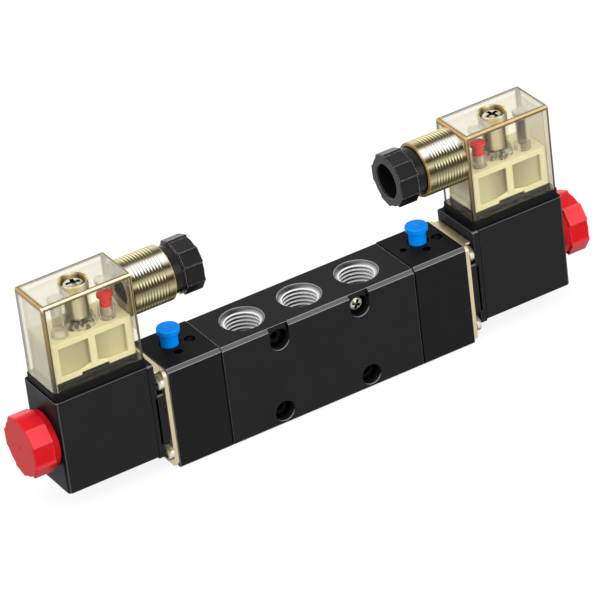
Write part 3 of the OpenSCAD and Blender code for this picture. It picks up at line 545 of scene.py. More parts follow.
@dataclass(frozen=True)
class PocketedFinish(BevelledFinish):
    """The body's anodised finish, with a painted highlight on the lower rim of each bored pocket."""

    pockets: tuple[Point, ...] = ((14.7, 29.9), (16.0, 4.5))
    rim_radius: float = 3.95
    notch_half: float = 3.8
    notch_low: float = 29.0
    notch_front: float = -7.0
    lip_room: Point = (-11.6, -10.1)
    # Colour of the painted highlight on each pocket's lower lip.
    lip_highlight_colour: Colour = (0.50, 0.50, 0.51)

    def edge_highlight_places(self, graph: Graph) -> Number | float:
        """Leaves the painted edge highlight off the pockets' rims."""
        shown = super().edge_highlight_places(graph)
        along, back, height = graph.millimetres()
        for across, middle in self.pockets:
            off = abs(along) - across
            shown = shown * (1.0 - (off.beside(height - middle) < self.rim_radius) * (back < 0.0))
            notch = (abs(off) < self.notch_half) * (height > self.notch_low) * (back < self.notch_front)
            shown = shown * (1.0 - notch)
        return shown

    def dressed(self, graph: Graph, colour: Socket, roughness: Number) -> Look:
        """Paints a highlight on the outer lip of each pocket's lower wall."""
        colour, roughness = super().dressed(graph, colour, roughness)
        up = graph.normal()[2]
        along, back, height = graph.millimetres()
        lip = back.within(*self.lip_room) * (up > 0.25)
        for across, middle in self.pockets:
            away = (abs(along) - across).beside(height - middle)
            crescent_highlight = lip * away.within(3.3, 3.7) * up.rising(0.2, 0.6) * back.rising(-10.9, -11.4)
            colour = graph.mix(crescent_highlight * 0.9, colour, self.lip_highlight_colour)
        return colour, roughness


@dataclass(frozen=True)
class MouldedFinish(Finish):
    """The coil's black moulding, with a painted highlight line along its rounded upper edges."""

    seam: float = 60.62
    # Colours of the painted highlight line and of its brighter spot at the corners.
    line: Colour = (0.20, 0.20, 0.205)
    highlight_spot: Colour = (0.75, 0.75, 0.76)
    nut_height: float = 22.0
    nut_shadow: Point = (15.0, 10.5)
    end: float = 92.0

    def dressed(self, graph: Graph, colour: Socket, roughness: Number) -> Look:
        """Paints a highlight on what faces both up and outward, most at the corners, and on the upright
        corners; paints shade on the tops and near the nut; and darkens the flange's seam.
        """
        side, back, up = graph.normal()
        along, off, height = graph.millimetres()
        # Painted shade on the outer end face near the nut.
        near = off.beside(height - self.nut_height).rising(*self.nut_shadow) * (abs(along) > self.end)
        colour = graph.mix(near * 0.8, colour, BLACK)
        tilted = up.rising(0.25, 0.6) * up.rising(0.97, 0.8)
        corner = abs(side).rising(0.3, 0.5) * abs(back).rising(0.3, 0.5)
        upright = corner * (abs(up) < 0.2) * abs(back).rising(0.72, 0.9)
        colour = graph.mix(upright * 0.5, colour, self.line)
        # Painted shade on the upward faces.
        colour = graph.mix((up > 0.97) * 0.5, colour, BLACK)
        colour = graph.mix(tilted * 0.9, colour, self.line)
        colour = graph.mix(tilted * corner * 0.9, colour, self.highlight_spot)
        joint = abs(along).within(self.seam - 0.12, self.seam + 0.14)
        return graph.mix(joint, colour, BLACK), roughness


@dataclass(frozen=True)
class GripFinish(Finish):
    """The red nut's moulding, with painted light on its raised flats where they face up, and deeper on its
    collar.
    """

    axis_height: float = 22.0
    rib_radius: Point = (9.75, 10.0)
    collar: float = 94.9
    # Colour of the painted light on the ribs that face up.
    raised_highlight: Colour = (0.86, 0.085, 0.10)
    deep: Colour = (0.45, 0.002, 0.005)

    def dressed(self, graph: Graph, colour: Socket, roughness: Number) -> Look:
        """Paints light on the ribs where they face up, and deepens the collar."""
        along, back, height = graph.millimetres()
        side, _, up = graph.normal()
        rib = back.beside(height - self.axis_height).rising(*self.rib_radius) * (abs(side) < 0.6)
        colour = graph.mix(rib * up.rising(-0.4, 0.9) * 0.75, colour, self.raised_highlight)
        return graph.mix((abs(along) < self.collar) * 0.5, colour, self.deep), roughness


@dataclass(frozen=True)
class LampFinish(Finish):
    """The lamp's red, which ends above its pale foot."""

    foot: float = 60.5
    foot_colour: Colour = (0.74, 0.71, 0.56)

    def dressed(self, graph: Graph, colour: Socket, roughness: Number) -> Look:
        """Pales the foot inside the clear ring."""
        below = graph.millimetres()[2].rising(self.foot + 0.15, self.foot - 0.15)
        return graph.mix(below, colour, self.foot_colour), roughness


@dataclass(frozen=True)
class ThreadFinish(Finish):
    """A bored port's bright thread with fine turning rings, with painted shade in its grooves, on its mouth
    and on its lead-in.
    """

    centre: float = 0.0
    ring_mm: float = 0.12
    groove: float = 5.92
    root: float = 6.6
    # The crests' colour at the front and back, and the painted shade of the mouth, the lead-in and the
    # grooves.
    crest_shade_colour: Colour = (0.80, 0.80, 0.80)
    mouth_shade_colour: Colour = (0.22, 0.22, 0.22)
    lead_in_shade_colour: Colour = (0.02, 0.02, 0.021)
    groove_shade_colour: Colour = (0.012, 0.012, 0.013)

    def tone(self, graph: Graph, patches: Number, grain: Number) -> Number:
        """Lets the tint follow the turning rings."""
        across, back, _ = graph.millimetres()
        rings = ((across - self.centre).beside(back) * (2.0 * math.pi / self.ring_mm)).sine()
        return (rings * 0.25 + patches * 0.5 + 0.25).clamped()

    def dressed(self, graph: Graph, colour: Socket, roughness: Number) -> Look:
        """Paints shade in the grooves, on the mouth and on the lead-in, and a little on the crests towards
        the front and back.
        """
        across, back, _ = graph.millimetres()
        away = across - self.centre
        radius = away.beside(back)
        shadow = radius.rising(self.groove - 0.1, self.groove + 0.2)
        shadow = shadow * radius.rising(self.root + 0.1, self.root)
        side = (abs(away) * 0.17).clamped()
        toned = graph.mix(side, self.crest_shade_colour, colour)
        toned = graph.mix(radius.rising(self.root, self.root + 0.15) * 0.85, toned, self.mouth_shade_colour)
        lead_in_shade = radius.rising(self.root - 0.1, self.root - 0.02) * radius.rising(7.12, 7.0)
        toned = graph.mix(lead_in_shade * (0.97 - side * 0.25), toned, self.lead_in_shade_colour)
        return graph.mix(shadow * (0.99 - side * side * 0.5), toned, self.groove_shade_colour), roughness


@dataclass(frozen=True)
class StreakedFinish(Finish):
    """A bright round surface with painted reflection streaks along its axis, with or without a thread."""

    axis: Axis = Axis.X
    centre: Point = (0.0, 0.0)
    # Painted reflection streaks, as stops of angle round the axis.
    stops: Stops = ()
    thread_from: float = 0.0
    thread_to: float = 0.0
    pitch: float = 1.0
    slant: float = 0.014
    # Painted shade in the thread's grooves and painted highlight on its crests.
    line: float = 0.5
    groove_line_shade: Colour = (0.10, 0.085, 0.03)
    crest_highlight_gain: Colour = (1.9, 1.9, 1.8)
    rim_to: float = 0.0
    rim_colour: Colour = (0.45, 0.29, 0.055)

    def dressed(self, graph: Graph, colour: Socket, roughness: Number) -> Look:
        """Lays the painted reflection streaks round the axis, breaks them up at each turn of the thread, and
        paints highlights on the crests and shade in the grooves.
        """
        along, back, height = graph.millimetres()
        if self.axis is Axis.X:
            turn = (height - self.centre[1]).part_turn(back - self.centre[0])
            run = abs(along)
        else:
            way = (along > 0.0) * 2.0 - 1.0
            turn = (back - self.centre[1]).part_turn((abs(along) - self.centre[0]) * way)
            run = height
        wander = graph.noise(2.2, 2.0, (2.5, 1.0, 1.0)) - 0.5
        ridge = (run * (2.0 * math.pi / self.pitch)).sine()
        threaded = run.within(self.thread_from, self.thread_to)
        stops = [(angle / 360.0, tint) for angle, tint in self.stops]
        reflections = graph.ramp(stops, turn + threaded * ridge * self.slant + wander * 0.012)
        groove_shade = threaded * ridge.rising(0.45, 0.9) * self.line
        crest_highlight = threaded * ridge.rising(-0.4, -0.95)
        raised_highlight = graph.mix(crest_highlight, reflections, self.crest_highlight_gain, "MULTIPLY")
        toned = graph.mix(groove_shade, raised_highlight, self.groove_line_shade)
        rim = run.within(self.rim_to - 1.0, self.rim_to) * 0.6
        return graph.mix(rim, toned, self.rim_colour), roughness


@dataclass(frozen=True)
class PlatedFinish(Finish):
    """A bright plating with painted reflection bands, laid by the way each part of the surface faces, and
    painted shade on its end faces.
    """

    # Painted reflection bands, laid by how the surface faces against lean; face is the painted shade of the
    # end faces.
    stops: Stops = ()
    lean: Place = (0.35, -0.55, 0.76)
    face: Colour = (0.34, 0.315, 0.23)

    def dressed(self, graph: Graph, colour: Socket, roughness: Number) -> Look:
        """Lays painted light and dark reflection bands by the surface's own direction, and paints shade on
        the end faces.
        """
        side, back, up = graph.axes(graph.node("ShaderNodeTexCoord").outputs["Normal"])
        turned = graph.node("ShaderNodeCombineXYZ", inputs={0: abs(side), 1: back, 2: up}).outputs[0]
        along = graph.node("ShaderNodeVectorMath", {"operation": "DOT_PRODUCT"}, {0: turned, 1: self.lean})
        patches = graph.noise(1.2, 2.0) - 0.5
        reflection_bands = graph.ramp(self.stops, graph.number(along, 1) * 0.5 + 0.5 + patches * 0.12)
        toned = graph.mix(abs(side).rising(0.8, 0.95), reflection_bands, self.face)
        return graph.mix(1.0, colour, toned, "MULTIPLY"), roughness


@dataclass(frozen=True)
class ClearFinish(Finish):
    """A clear moulding, whose walls are nearly open and whose edges hold the tint."""

    tint: Colour = (0.97, 0.94, 0.86)
    haze: float = 0.06
    outline: float = 0.5
    gloss: float = 0.5
    ior: float = 1.46

    def solidity(self, graph: Graph, patches: Number) -> Look:
        """Says what colour the moulding has and how much of it is seen.

        Args:
            graph: The material's tree.
            patches: Soft blotches.

        Returns:
            The colour, and a share from 0, which is open, to 1.
        """
        facing = graph.edge_on()
        colour = graph.mix(patches, self.colour, self.shade)
        return colour, (self.haze + facing * facing * facing * self.outline * (0.5 + patches)).clamped()

    def surface(self, graph: Graph) -> Socket:
        """Builds the shader: open, solid and gloss in turn.

        Args:
            graph: The material's tree.

        Returns:
            The shader's output.
        """
        patches = graph.noise(self.patch_mm, 2.0)
        grain = graph.noise(self.grain_mm, 1.0)
        bumped = graph.node(
            "ShaderNodeBump", inputs={"Height": patches, "Strength": self.bump, "Distance": 0.05 * MM}
        )
        colour, share = self.solidity(graph, patches)
        solid = graph.node(
            "ShaderNodeBsdfPrincipled",
            inputs={
                "Base Color": colour,
                "Roughness": (self.roughness + (grain - 0.5) * self.spread).clamped(),
                "IOR": self.ior,
                "Normal": bumped.outputs[0],
            },
        )
        seen = graph.node("ShaderNodeBsdfTransparent", inputs={"Color": self.tint})
        body = graph.node("ShaderNodeMixShader", inputs={0: share, 1: seen.outputs[0], 2: solid.outputs[0]})
        shine = graph.node("ShaderNodeBsdfGlossy", inputs={"Color": WHITE, "Roughness": 0.04})
        fresnel = graph.number(graph.node("ShaderNodeFresnel", inputs={"IOR": self.ior}))
        return graph.node(
            "ShaderNodeMixShader", inputs={0: fresnel * self.gloss, 1: body.outputs[0], 2: shine.outputs[0]}
        ).outputs[0]


@dataclass(frozen=True)
class CoverFinish(ClearFinish):
    """The connector cover's clear amber, gathered along the box's edges and at its gland end."""

    start: float = 60.2
    end: float = 91.6
    half: float = 8.8
    top: float = 71.4
    band_mm: float = 1.12
    blur_mm: float = 0.06
    lid_share: float = 0.82
    corner_line: Point = (1.38, 1.50)
    # Where the painted glint of highlight shows along the lid's front edge.
    glint: Point = (1.1, 0.8)
    wall: Point = (1.5, 1.2)
    inner_end_low: float = 50.0
    sinking: Point = (64.0, 42.5)
    veil: Colour = (0.60, 0.585, 0.50)
    side_veil: Colour = (0.78, 0.745, 0.56)
    gold: Colour = (0.34, 0.20, 0.035)
    left_gold: Colour = (0.62, 0.54, 0.30)
    dark: Colour = (0.055, 0.036, 0.006)
    # Colour of the painted glint.
    pale_highlight: Colour = (0.97, 0.91, 0.66)
    post: float = 75.9
    post_reach: float = 5.0
    foot_radius: Point = (4.1, 5.9)
    foot_room: Point = (56.4, 59.2)
    foot_dark: Colour = (0.10, 0.085, 0.045)
    foot_pale: Colour = (0.93, 0.91, 0.80)

    def solidity(self, graph: Graph, patches: Number) -> Look:
        """Draws the gold bars along the outer edges, with dark lines beside them, and paints a glint of
        highlight along the lid's front edge.
        """
        across, back, height = graph.millimetres()
        along = abs(across)
        ends = (along - self.start).least(self.end - along)
        sides = self.half - abs(back)
        lid = (self.top - height) * self.lid_share
        depth = ends.least(sides).most(ends.most(sides).least(lid))
        bar = depth.rising(self.band_mm + self.blur_mm, self.band_mm - self.blur_mm)
        corner = depth.within(*self.corner_line)
        top = (lid < 0.08) * (1.0 - bar)
        outer = (self.end - along).rising(*self.wall) * (1.0 - top)
        inner = (along - self.start).rising(*self.wall) * (height > self.inner_end_low)
        colour, share = super().solidity(graph, patches)
        colour = graph.mix(top, colour, self.veil)
        colour = graph.mix(outer, colour, self.side_veil)
        sunk = ((lid > 1.4) * 0.25 + height.rising(*self.sinking) * 0.7).clamped()
        bars = graph.mix(sunk, self.bars(graph, depth), tinted(self.dark, 0.4))
        colour = graph.mix(bar, colour, bars)
        # Painted glint of highlight along the lid's front edge.
        glint = lid.rising(*self.glint) * (back < 0.0) * (sides < self.glint[0]) * depth.rising(0.52, 0.4)
        colour = graph.mix(glint * ((across < 0.0) * 0.7 + 0.2), colour, self.pale_highlight)
        colour = graph.mix(corner * 0.85, colour, self.dark)
        amber = graph.mix(across < 0.0, tinted(self.gold, 1.5), self.left_gold)
        colour = graph.mix(inner * (1.0 - bar) * (1.0 - top) * 0.85, colour, amber)
        foot = (along - self.post).beside(back).within(*self.foot_radius) * height.within(*self.foot_room)
        blots = graph.noise(1.3, 1.0, (1.0, 1.0, 1.6)).rising(0.42, 0.56)
        colour = graph.mix(foot, colour, graph.mix(blots, self.foot_dark, self.foot_pale))
        over_post = top * (abs(along - self.post) < self.post_reach) * (back < -0.5)
        share = share + bar * 0.9 + corner * 0.3 + inner * 0.45 + top * 0.42 + outer * 0.46 + foot * 0.4
        return colour, (share - over_post * 0.34).clamped().least(0.96)

    def bars(self, graph: Graph, depth: Number) -> Socket:
        """Gives the bars' gold, which falls off to a dark line on their inner side.

        Args:
            graph: The material's tree.
            depth: How far a point lies inside the box's edges, in millimetres.

        Returns:
            The colour.
        """
        stops = [
            (0.0, tinted(self.gold, 2.0)), (0.30, tinted(self.gold, 1.4)), (0.50, self.gold),
            (0.66, tinted(self.gold, 0.35)), (0.78, self.dark), (1.0, self.dark),
        ]
        wander = (graph.noise(1.8, 2.0, (3.0, 3.0, 3.0)) - 0.5) * 0.2
        return graph.ramp(stops, depth * (1.0 / (self.band_mm + self.blur_mm)) + wander)


@dataclass(frozen=True)
class GuideFinish(ClearFinish):
    """The clear light guides, with a shaded stem in the plain one."""

    middle: Point = (84.2, -3.0)
    stem_radius: float = 1.9
    stem_room: Point = (58.7, 67.2)
    stem: Colour = (0.05, 0.042, 0.03)
    cloud: Colour = (0.95, 0.95, 0.93)

    def solidity(self, graph: Graph, patches: Number) -> Look:
        """Shades the stem, more at the right-hand end, and clouds the lenses under the lid."""
        colour, share = super().solidity(graph, patches)
        across, back, height = graph.millimetres()
        away = (abs(across) - self.middle[0]).beside(back - self.middle[1])
        inside = (away < self.stem_radius) * height.within(*self.stem_room)
        inside = inside * graph.edge_on().rising(0.55, 0.3)
        lens = height > self.stem_room[1]
        colour = graph.mix(inside, colour, self.stem)
        colour = graph.mix(lens * patches.rising(0.45, 0.5), colour, self.cloud)
        return colour, (share + inside * ((across > 0.0) * 0.45 + 0.2) + lens * 0.3).least(0.95)


@dataclass(frozen=True)
class PanelFinish(Finish):
    """The terminal block's cream moulding, with painted shade in its recessed panels."""

    rib: float = 75.9
    face: float = 7.2
    room: Point = (44.7, 54.8)
    # Painted shade of the recessed panels, darkest in the shadow colour by the rib.
    panel_shade: Colour = (0.66, 0.63, 0.42)
    shadow: Colour = (0.13, 0.12, 0.085)

    def dressed(self, graph: Graph, colour: Socket, roughness: Number) -> Look:
        """Paints shade in each recessed panel, deepest towards the rib in the middle."""
        along, back, height = graph.millimetres()
        inside = abs(back).rising(self.face - 0.5, self.face - 0.75) * height.within(*self.room)
        off = abs(along) - self.rib
        right = along > 0.0
        deep = (1.0 - off * 0.075).clamped() * (off > 0.0) * (right * 0.25 + 0.4)
        deep = deep + (1.0 + off * 0.13).clamped() * (off < 0.0) * (right * 0.55 + 0.4)
        deep = (deep * (height.rising(42.0, 56.0) * 0.4 + 0.6)).clamped()
        return graph.mix(inside, colour, graph.mix(deep, self.panel_shade, self.shadow)), roughness


ANODISED = BevelledFinish(
    "black_anodised_finish", "black_anodised", (0.0132, 0.0132, 0.0134), (0.0184, 0.0184, 0.0187), 0.46,
    top_shade=0.35,
)
BODY_ANODISED = PocketedFinish(
    "body_anodised_finish", "black_anodised", (0.0175, 0.0175, 0.0177), (0.0240, 0.0240, 0.0243), 0.46,
    top_shade=0.15,
)
SPOOL_METAL = Finish(
    "spool_metal_finish", "bare_aluminium", (0.80, 0.81, 0.83), (0.66, 0.67, 0.69), 0.3,
    metallic=1.0, grain_mm=0.2, bump=0.1,
)
BLACK_MOULDING = MouldedFinish(
    "black_moulding_finish", "black_plastic", (0.0178, 0.0178, 0.0181), (0.0230, 0.0230, 0.0233), 0.36,
    specular=0.05, grain_mm=0.45, bump=0.1, edge_mm=0.12, edge_highlight_colour=(0.30, 0.30, 0.30), edge_highlight_strength=0.6,
    gloss_tint=(0.2, 0.2, 0.2),
)
NUT_MOULDING = Finish(
    "nut_moulding_finish", "black_plastic", (0.0062, 0.0062, 0.0062), (0.0105, 0.0105, 0.0105), 0.24,
    specular=0.2, grain_mm=0.4, bump=0.08, edge_mm=0.1, edge_highlight_colour=(0.62, 0.61, 0.60), edge_highlight_strength=0.9,
    gloss_tint=(0.6, 0.6, 0.6),
)
RUBBER = Finish(
    "black_rubber_finish", "black_rubber", (0.0075, 0.0075, 0.0072), (0.0120, 0.0120, 0.0115), 0.5,
    specular=0.06, grain_mm=0.3, bump=0.15, edge_mm=0.12, edge_highlight_colour=(0.12, 0.12, 0.12), edge_highlight_strength=0.6,
    gloss_tint=(0.6, 0.6, 0.6),
)
CHAMPAGNE = Finish(
    "champagne_plate_finish", "champagne_plate", (0.72, 0.63, 0.39), (0.53, 0.45, 0.26), 0.32,
    metallic=0.85, grain_mm=0.3, bump=0.1, stretch=(1.0, 1.0, 8.0), edge_mm=0.2,
    edge_highlight_colour=(0.98, 0.95, 0.84), edge_highlight_strength=0.8, hollow_shade_mm=1.2, hollow_shade_colour=(0.10, 0.08, 0.04),
)
# Painted reflection bands of the bright plating, by facing.
PLATING_REFLECTIONS = (
    (0.0, (0.45, 0.43, 0.37)), (0.25, (0.14, 0.125, 0.09)), (0.42, (0.42, 0.395, 0.31)),
    (0.54, (0.10, 0.09, 0.065)), (0.64, (0.34, 0.32, 0.25)), (0.74, (1.0, 0.99, 0.95)),
    (0.88, (1.0, 0.99, 0.95)), (0.95, (0.42, 0.39, 0.30)), (1.0, (0.16, 0.145, 0.10)),
)
SCREW = PlatedFinish(
    "bright_screw_finish", "bright_screw", (0.86, 0.83, 0.75), (0.62, 0.59, 0.51), 0.18,
    metallic=0.3, specular=0.2, grain_mm=0.5, bump=0.06, gloss_tint=(0.4, 0.39, 0.36), edge_mm=0.15,
    edge_highlight_colour=(0.90, 0.88, 0.80), edge_highlight_strength=0.5, hollow_shade_mm=1.6, hollow_shade_colour=(0.010, 0.009, 0.007),
    hollow_shade_strength=2.2, stops=PLATING_REFLECTIONS,
)
STEEL = Finish(
    "turned_steel_finish", "bright_steel", (0.62, 0.63, 0.65), (0.5, 0.51, 0.53), 0.28,
    metallic=1.0, grain_mm=0.3, bump=0.08,
)
BRASS = Finish(
    "plain_brass_finish", "brass", (0.80, 0.62, 0.28), (0.66, 0.48, 0.2), 0.3,
    metallic=1.0, grain_mm=0.3, bump=0.08,
)
COPPER = Finish(
    "wound_copper_finish", "copper_wire", (0.62, 0.28, 0.12), (0.4, 0.17, 0.07), 0.35,
    metallic=1.0, grain_mm=0.25, bump=0.3, stretch=(0.6, 12.0, 12.0),
)
BLUE = Finish(
    "override_blue_finish", "blue_plastic", (0.0, 0.30, 1.0), (0.0, 0.25, 0.92), 0.32,
    specular=0.03, grain_mm=0.4, bump=0.06, edge_mm=0.25, edge_highlight_colour=(0.16, 0.58, 1.0), edge_highlight_strength=0.8,
    gloss_tint=(0.02, 0.3, 0.9),
)
RED = GripFinish(
    "signal_red_finish", "red_plastic", (0.72, 0.016, 0.022), (0.60, 0.008, 0.013), 0.34,
    specular=0.1, grain_mm=0.4, bump=0.08, edge_mm=0.15, edge_highlight_colour=(0.99, 0.30, 0.28), edge_highlight_strength=0.6,
    gloss_tint=(0.8, 0.2, 0.2),
)
LAMP_RED = LampFinish(
    "lamp_red_finish", "red_lamp", (0.90, 0.018, 0.035), (0.74, 0.008, 0.016), 0.2, specular=0.3, coat=0.2,
    bump=0.04,
)
AMBER = CoverFinish(
    "amber_clear_finish", "amber_clear", (0.80, 0.72, 0.50), (0.70, 0.60, 0.36), 0.05, spread=0.02,
    bump=0.02, patch_mm=12.0, tint=(0.982, 0.966, 0.915), haze=0.012, outline=0.10, gloss=0.14,
)
CLEAR = GuideFinish(
    "clear_moulding_finish", "clear_plastic", (0.34, 0.32, 0.26), (0.90, 0.89, 0.84), 0.05, spread=0.02,
    bump=0.02, patch_mm=2.2, tint=(0.975, 0.965, 0.94), haze=0.06, outline=1.2, gloss=0.6,
)
# Colours of the painted reflections on the gland tube.
REFLECTION_WHITE = (0.80, 0.78, 0.71)
REFLECTION_PALE = (0.53, 0.48, 0.29)
REFLECTION_GOLD = (0.34, 0.30, 0.18)
REFLECTION_OLIVE = (0.078, 0.062, 0.026)
REFLECTION_DEEP = (0.026, 0.020, 0.006)
GLAND_REFLECTIONS = (
    (0.0, REFLECTION_PALE), (84.0, REFLECTION_PALE), (99.0, REFLECTION_OLIVE), (106.0, REFLECTION_OLIVE),
    (117.0, REFLECTION_WHITE), (127.0, REFLECTION_WHITE), (137.0, REFLECTION_OLIVE), (142.0, REFLECTION_DEEP),
    (154.0, REFLECTION_PALE), (160.0, REFLECTION_OLIVE), (166.0, REFLECTION_DEEP), (178.0, REFLECTION_GOLD),
    (184.0, REFLECTION_PALE), (197.0, REFLECTION_OLIVE), (204.0, REFLECTION_OLIVE), (211.0, REFLECTION_GOLD),
    (220.0, REFLECTION_DEEP), (240.0, REFLECTION_GOLD), (290.0, REFLECTION_PALE), (330.0, REFLECTION_OLIVE),
    (360.0, REFLECTION_PALE),
)
GLAND_METAL = StreakedFinish(
    "gland_tube_finish", "amber_clear", (0.80, 0.74, 0.52), (0.5, 0.44, 0.24), 0.4, specular=0.04,
    grain_mm=0.3, bump=0.05, axis=Axis.X, centre=(0.0, 61.9), stops=GLAND_REFLECTIONS, thread_from=48.3,
    thread_to=58.6, pitch=1.03, slant=0.007, line=0.55, groove_line_shade=(0.03, 0.024, 0.008), rim_to=46.25,
)
# Painted reflections round the connector screw's body.
COLUMN_REFLECTIONS = (
    (0.0, (0.55, 0.52, 0.42)), (30.0, (0.80, 0.78, 0.70)), (60.0, (0.20, 0.18, 0.13)),
    (95.0, (0.85, 0.83, 0.76)), (130.0, (0.50, 0.47, 0.38)), (165.0, (0.05, 0.045, 0.035)),
    (196.0, (0.06, 0.055, 0.04)), (212.0, (0.62, 0.58, 0.44)), (228.0, (0.93, 0.91, 0.82)),
    (262.0, (0.90, 0.87, 0.76)), (280.0, (0.45, 0.41, 0.31)), (300.0, (0.10, 0.09, 0.07)),
    (318.0, (0.08, 0.07, 0.055)), (340.0, (0.60, 0.57, 0.47)), (360.0, (0.55, 0.52, 0.42)),
)
COLUMN_METAL = StreakedFinish(
    "screw_body_finish", "bright_screw", (0.86, 0.82, 0.72), (0.55, 0.51, 0.42), 0.2, metallic=0.5,
    grain_mm=0.5, bump=0.04, axis=Axis.Z, centre=(75.9, 0.0), stops=COLUMN_REFLECTIONS,
)
# Painted reflections round the well's rim.
RIM_REFLECTIONS = (
    (0.0, (0.50, 0.36, 0.10)), (40.0, (0.12, 0.08, 0.015)), (75.0, (0.80, 0.70, 0.40)),
    (110.0, (0.14, 0.095, 0.02)), (150.0, (0.74, 0.60, 0.26)), (185.0, (0.12, 0.08, 0.015)),
    (215.0, (0.88, 0.80, 0.54)), (250.0, (0.70, 0.55, 0.22)), (275.0, (0.92, 0.86, 0.62)),
    (305.0, (0.16, 0.11, 0.025)), (335.0, (0.78, 0.66, 0.32)), (360.0, (0.66, 0.50, 0.18)),
)
WELL_RIM = StreakedFinish(
    "well_rim_finish", "amber_clear", (0.70, 0.55, 0.22), (0.5, 0.38, 0.12), 0.2, metallic=0.3,
    grain_mm=0.4, bump=0.04, axis=Axis.Z, centre=(75.9, 0.0), stops=RIM_REFLECTIONS, edge_mm=0.15,
    edge_highlight_colour=(0.90, 0.80, 0.45), edge_highlight_strength=0.6,
)
CREAM = PanelFinish(
    "cream_moulding_finish", "cream_plastic", (0.99, 0.965, 0.68), (0.92, 0.885, 0.60), 0.42, specular=0.2,
    grain_mm=0.4, bump=0.1, edge_mm=0.18, edge_highlight_colour=(0.96, 0.95, 0.80), edge_highlight_strength=0.5,
)


def once(parts: Iterable[Element]) -> list[Element]:
    """Lists parts of a mesh in their order, each one once."""
    return list(dict.fromkeys(parts))


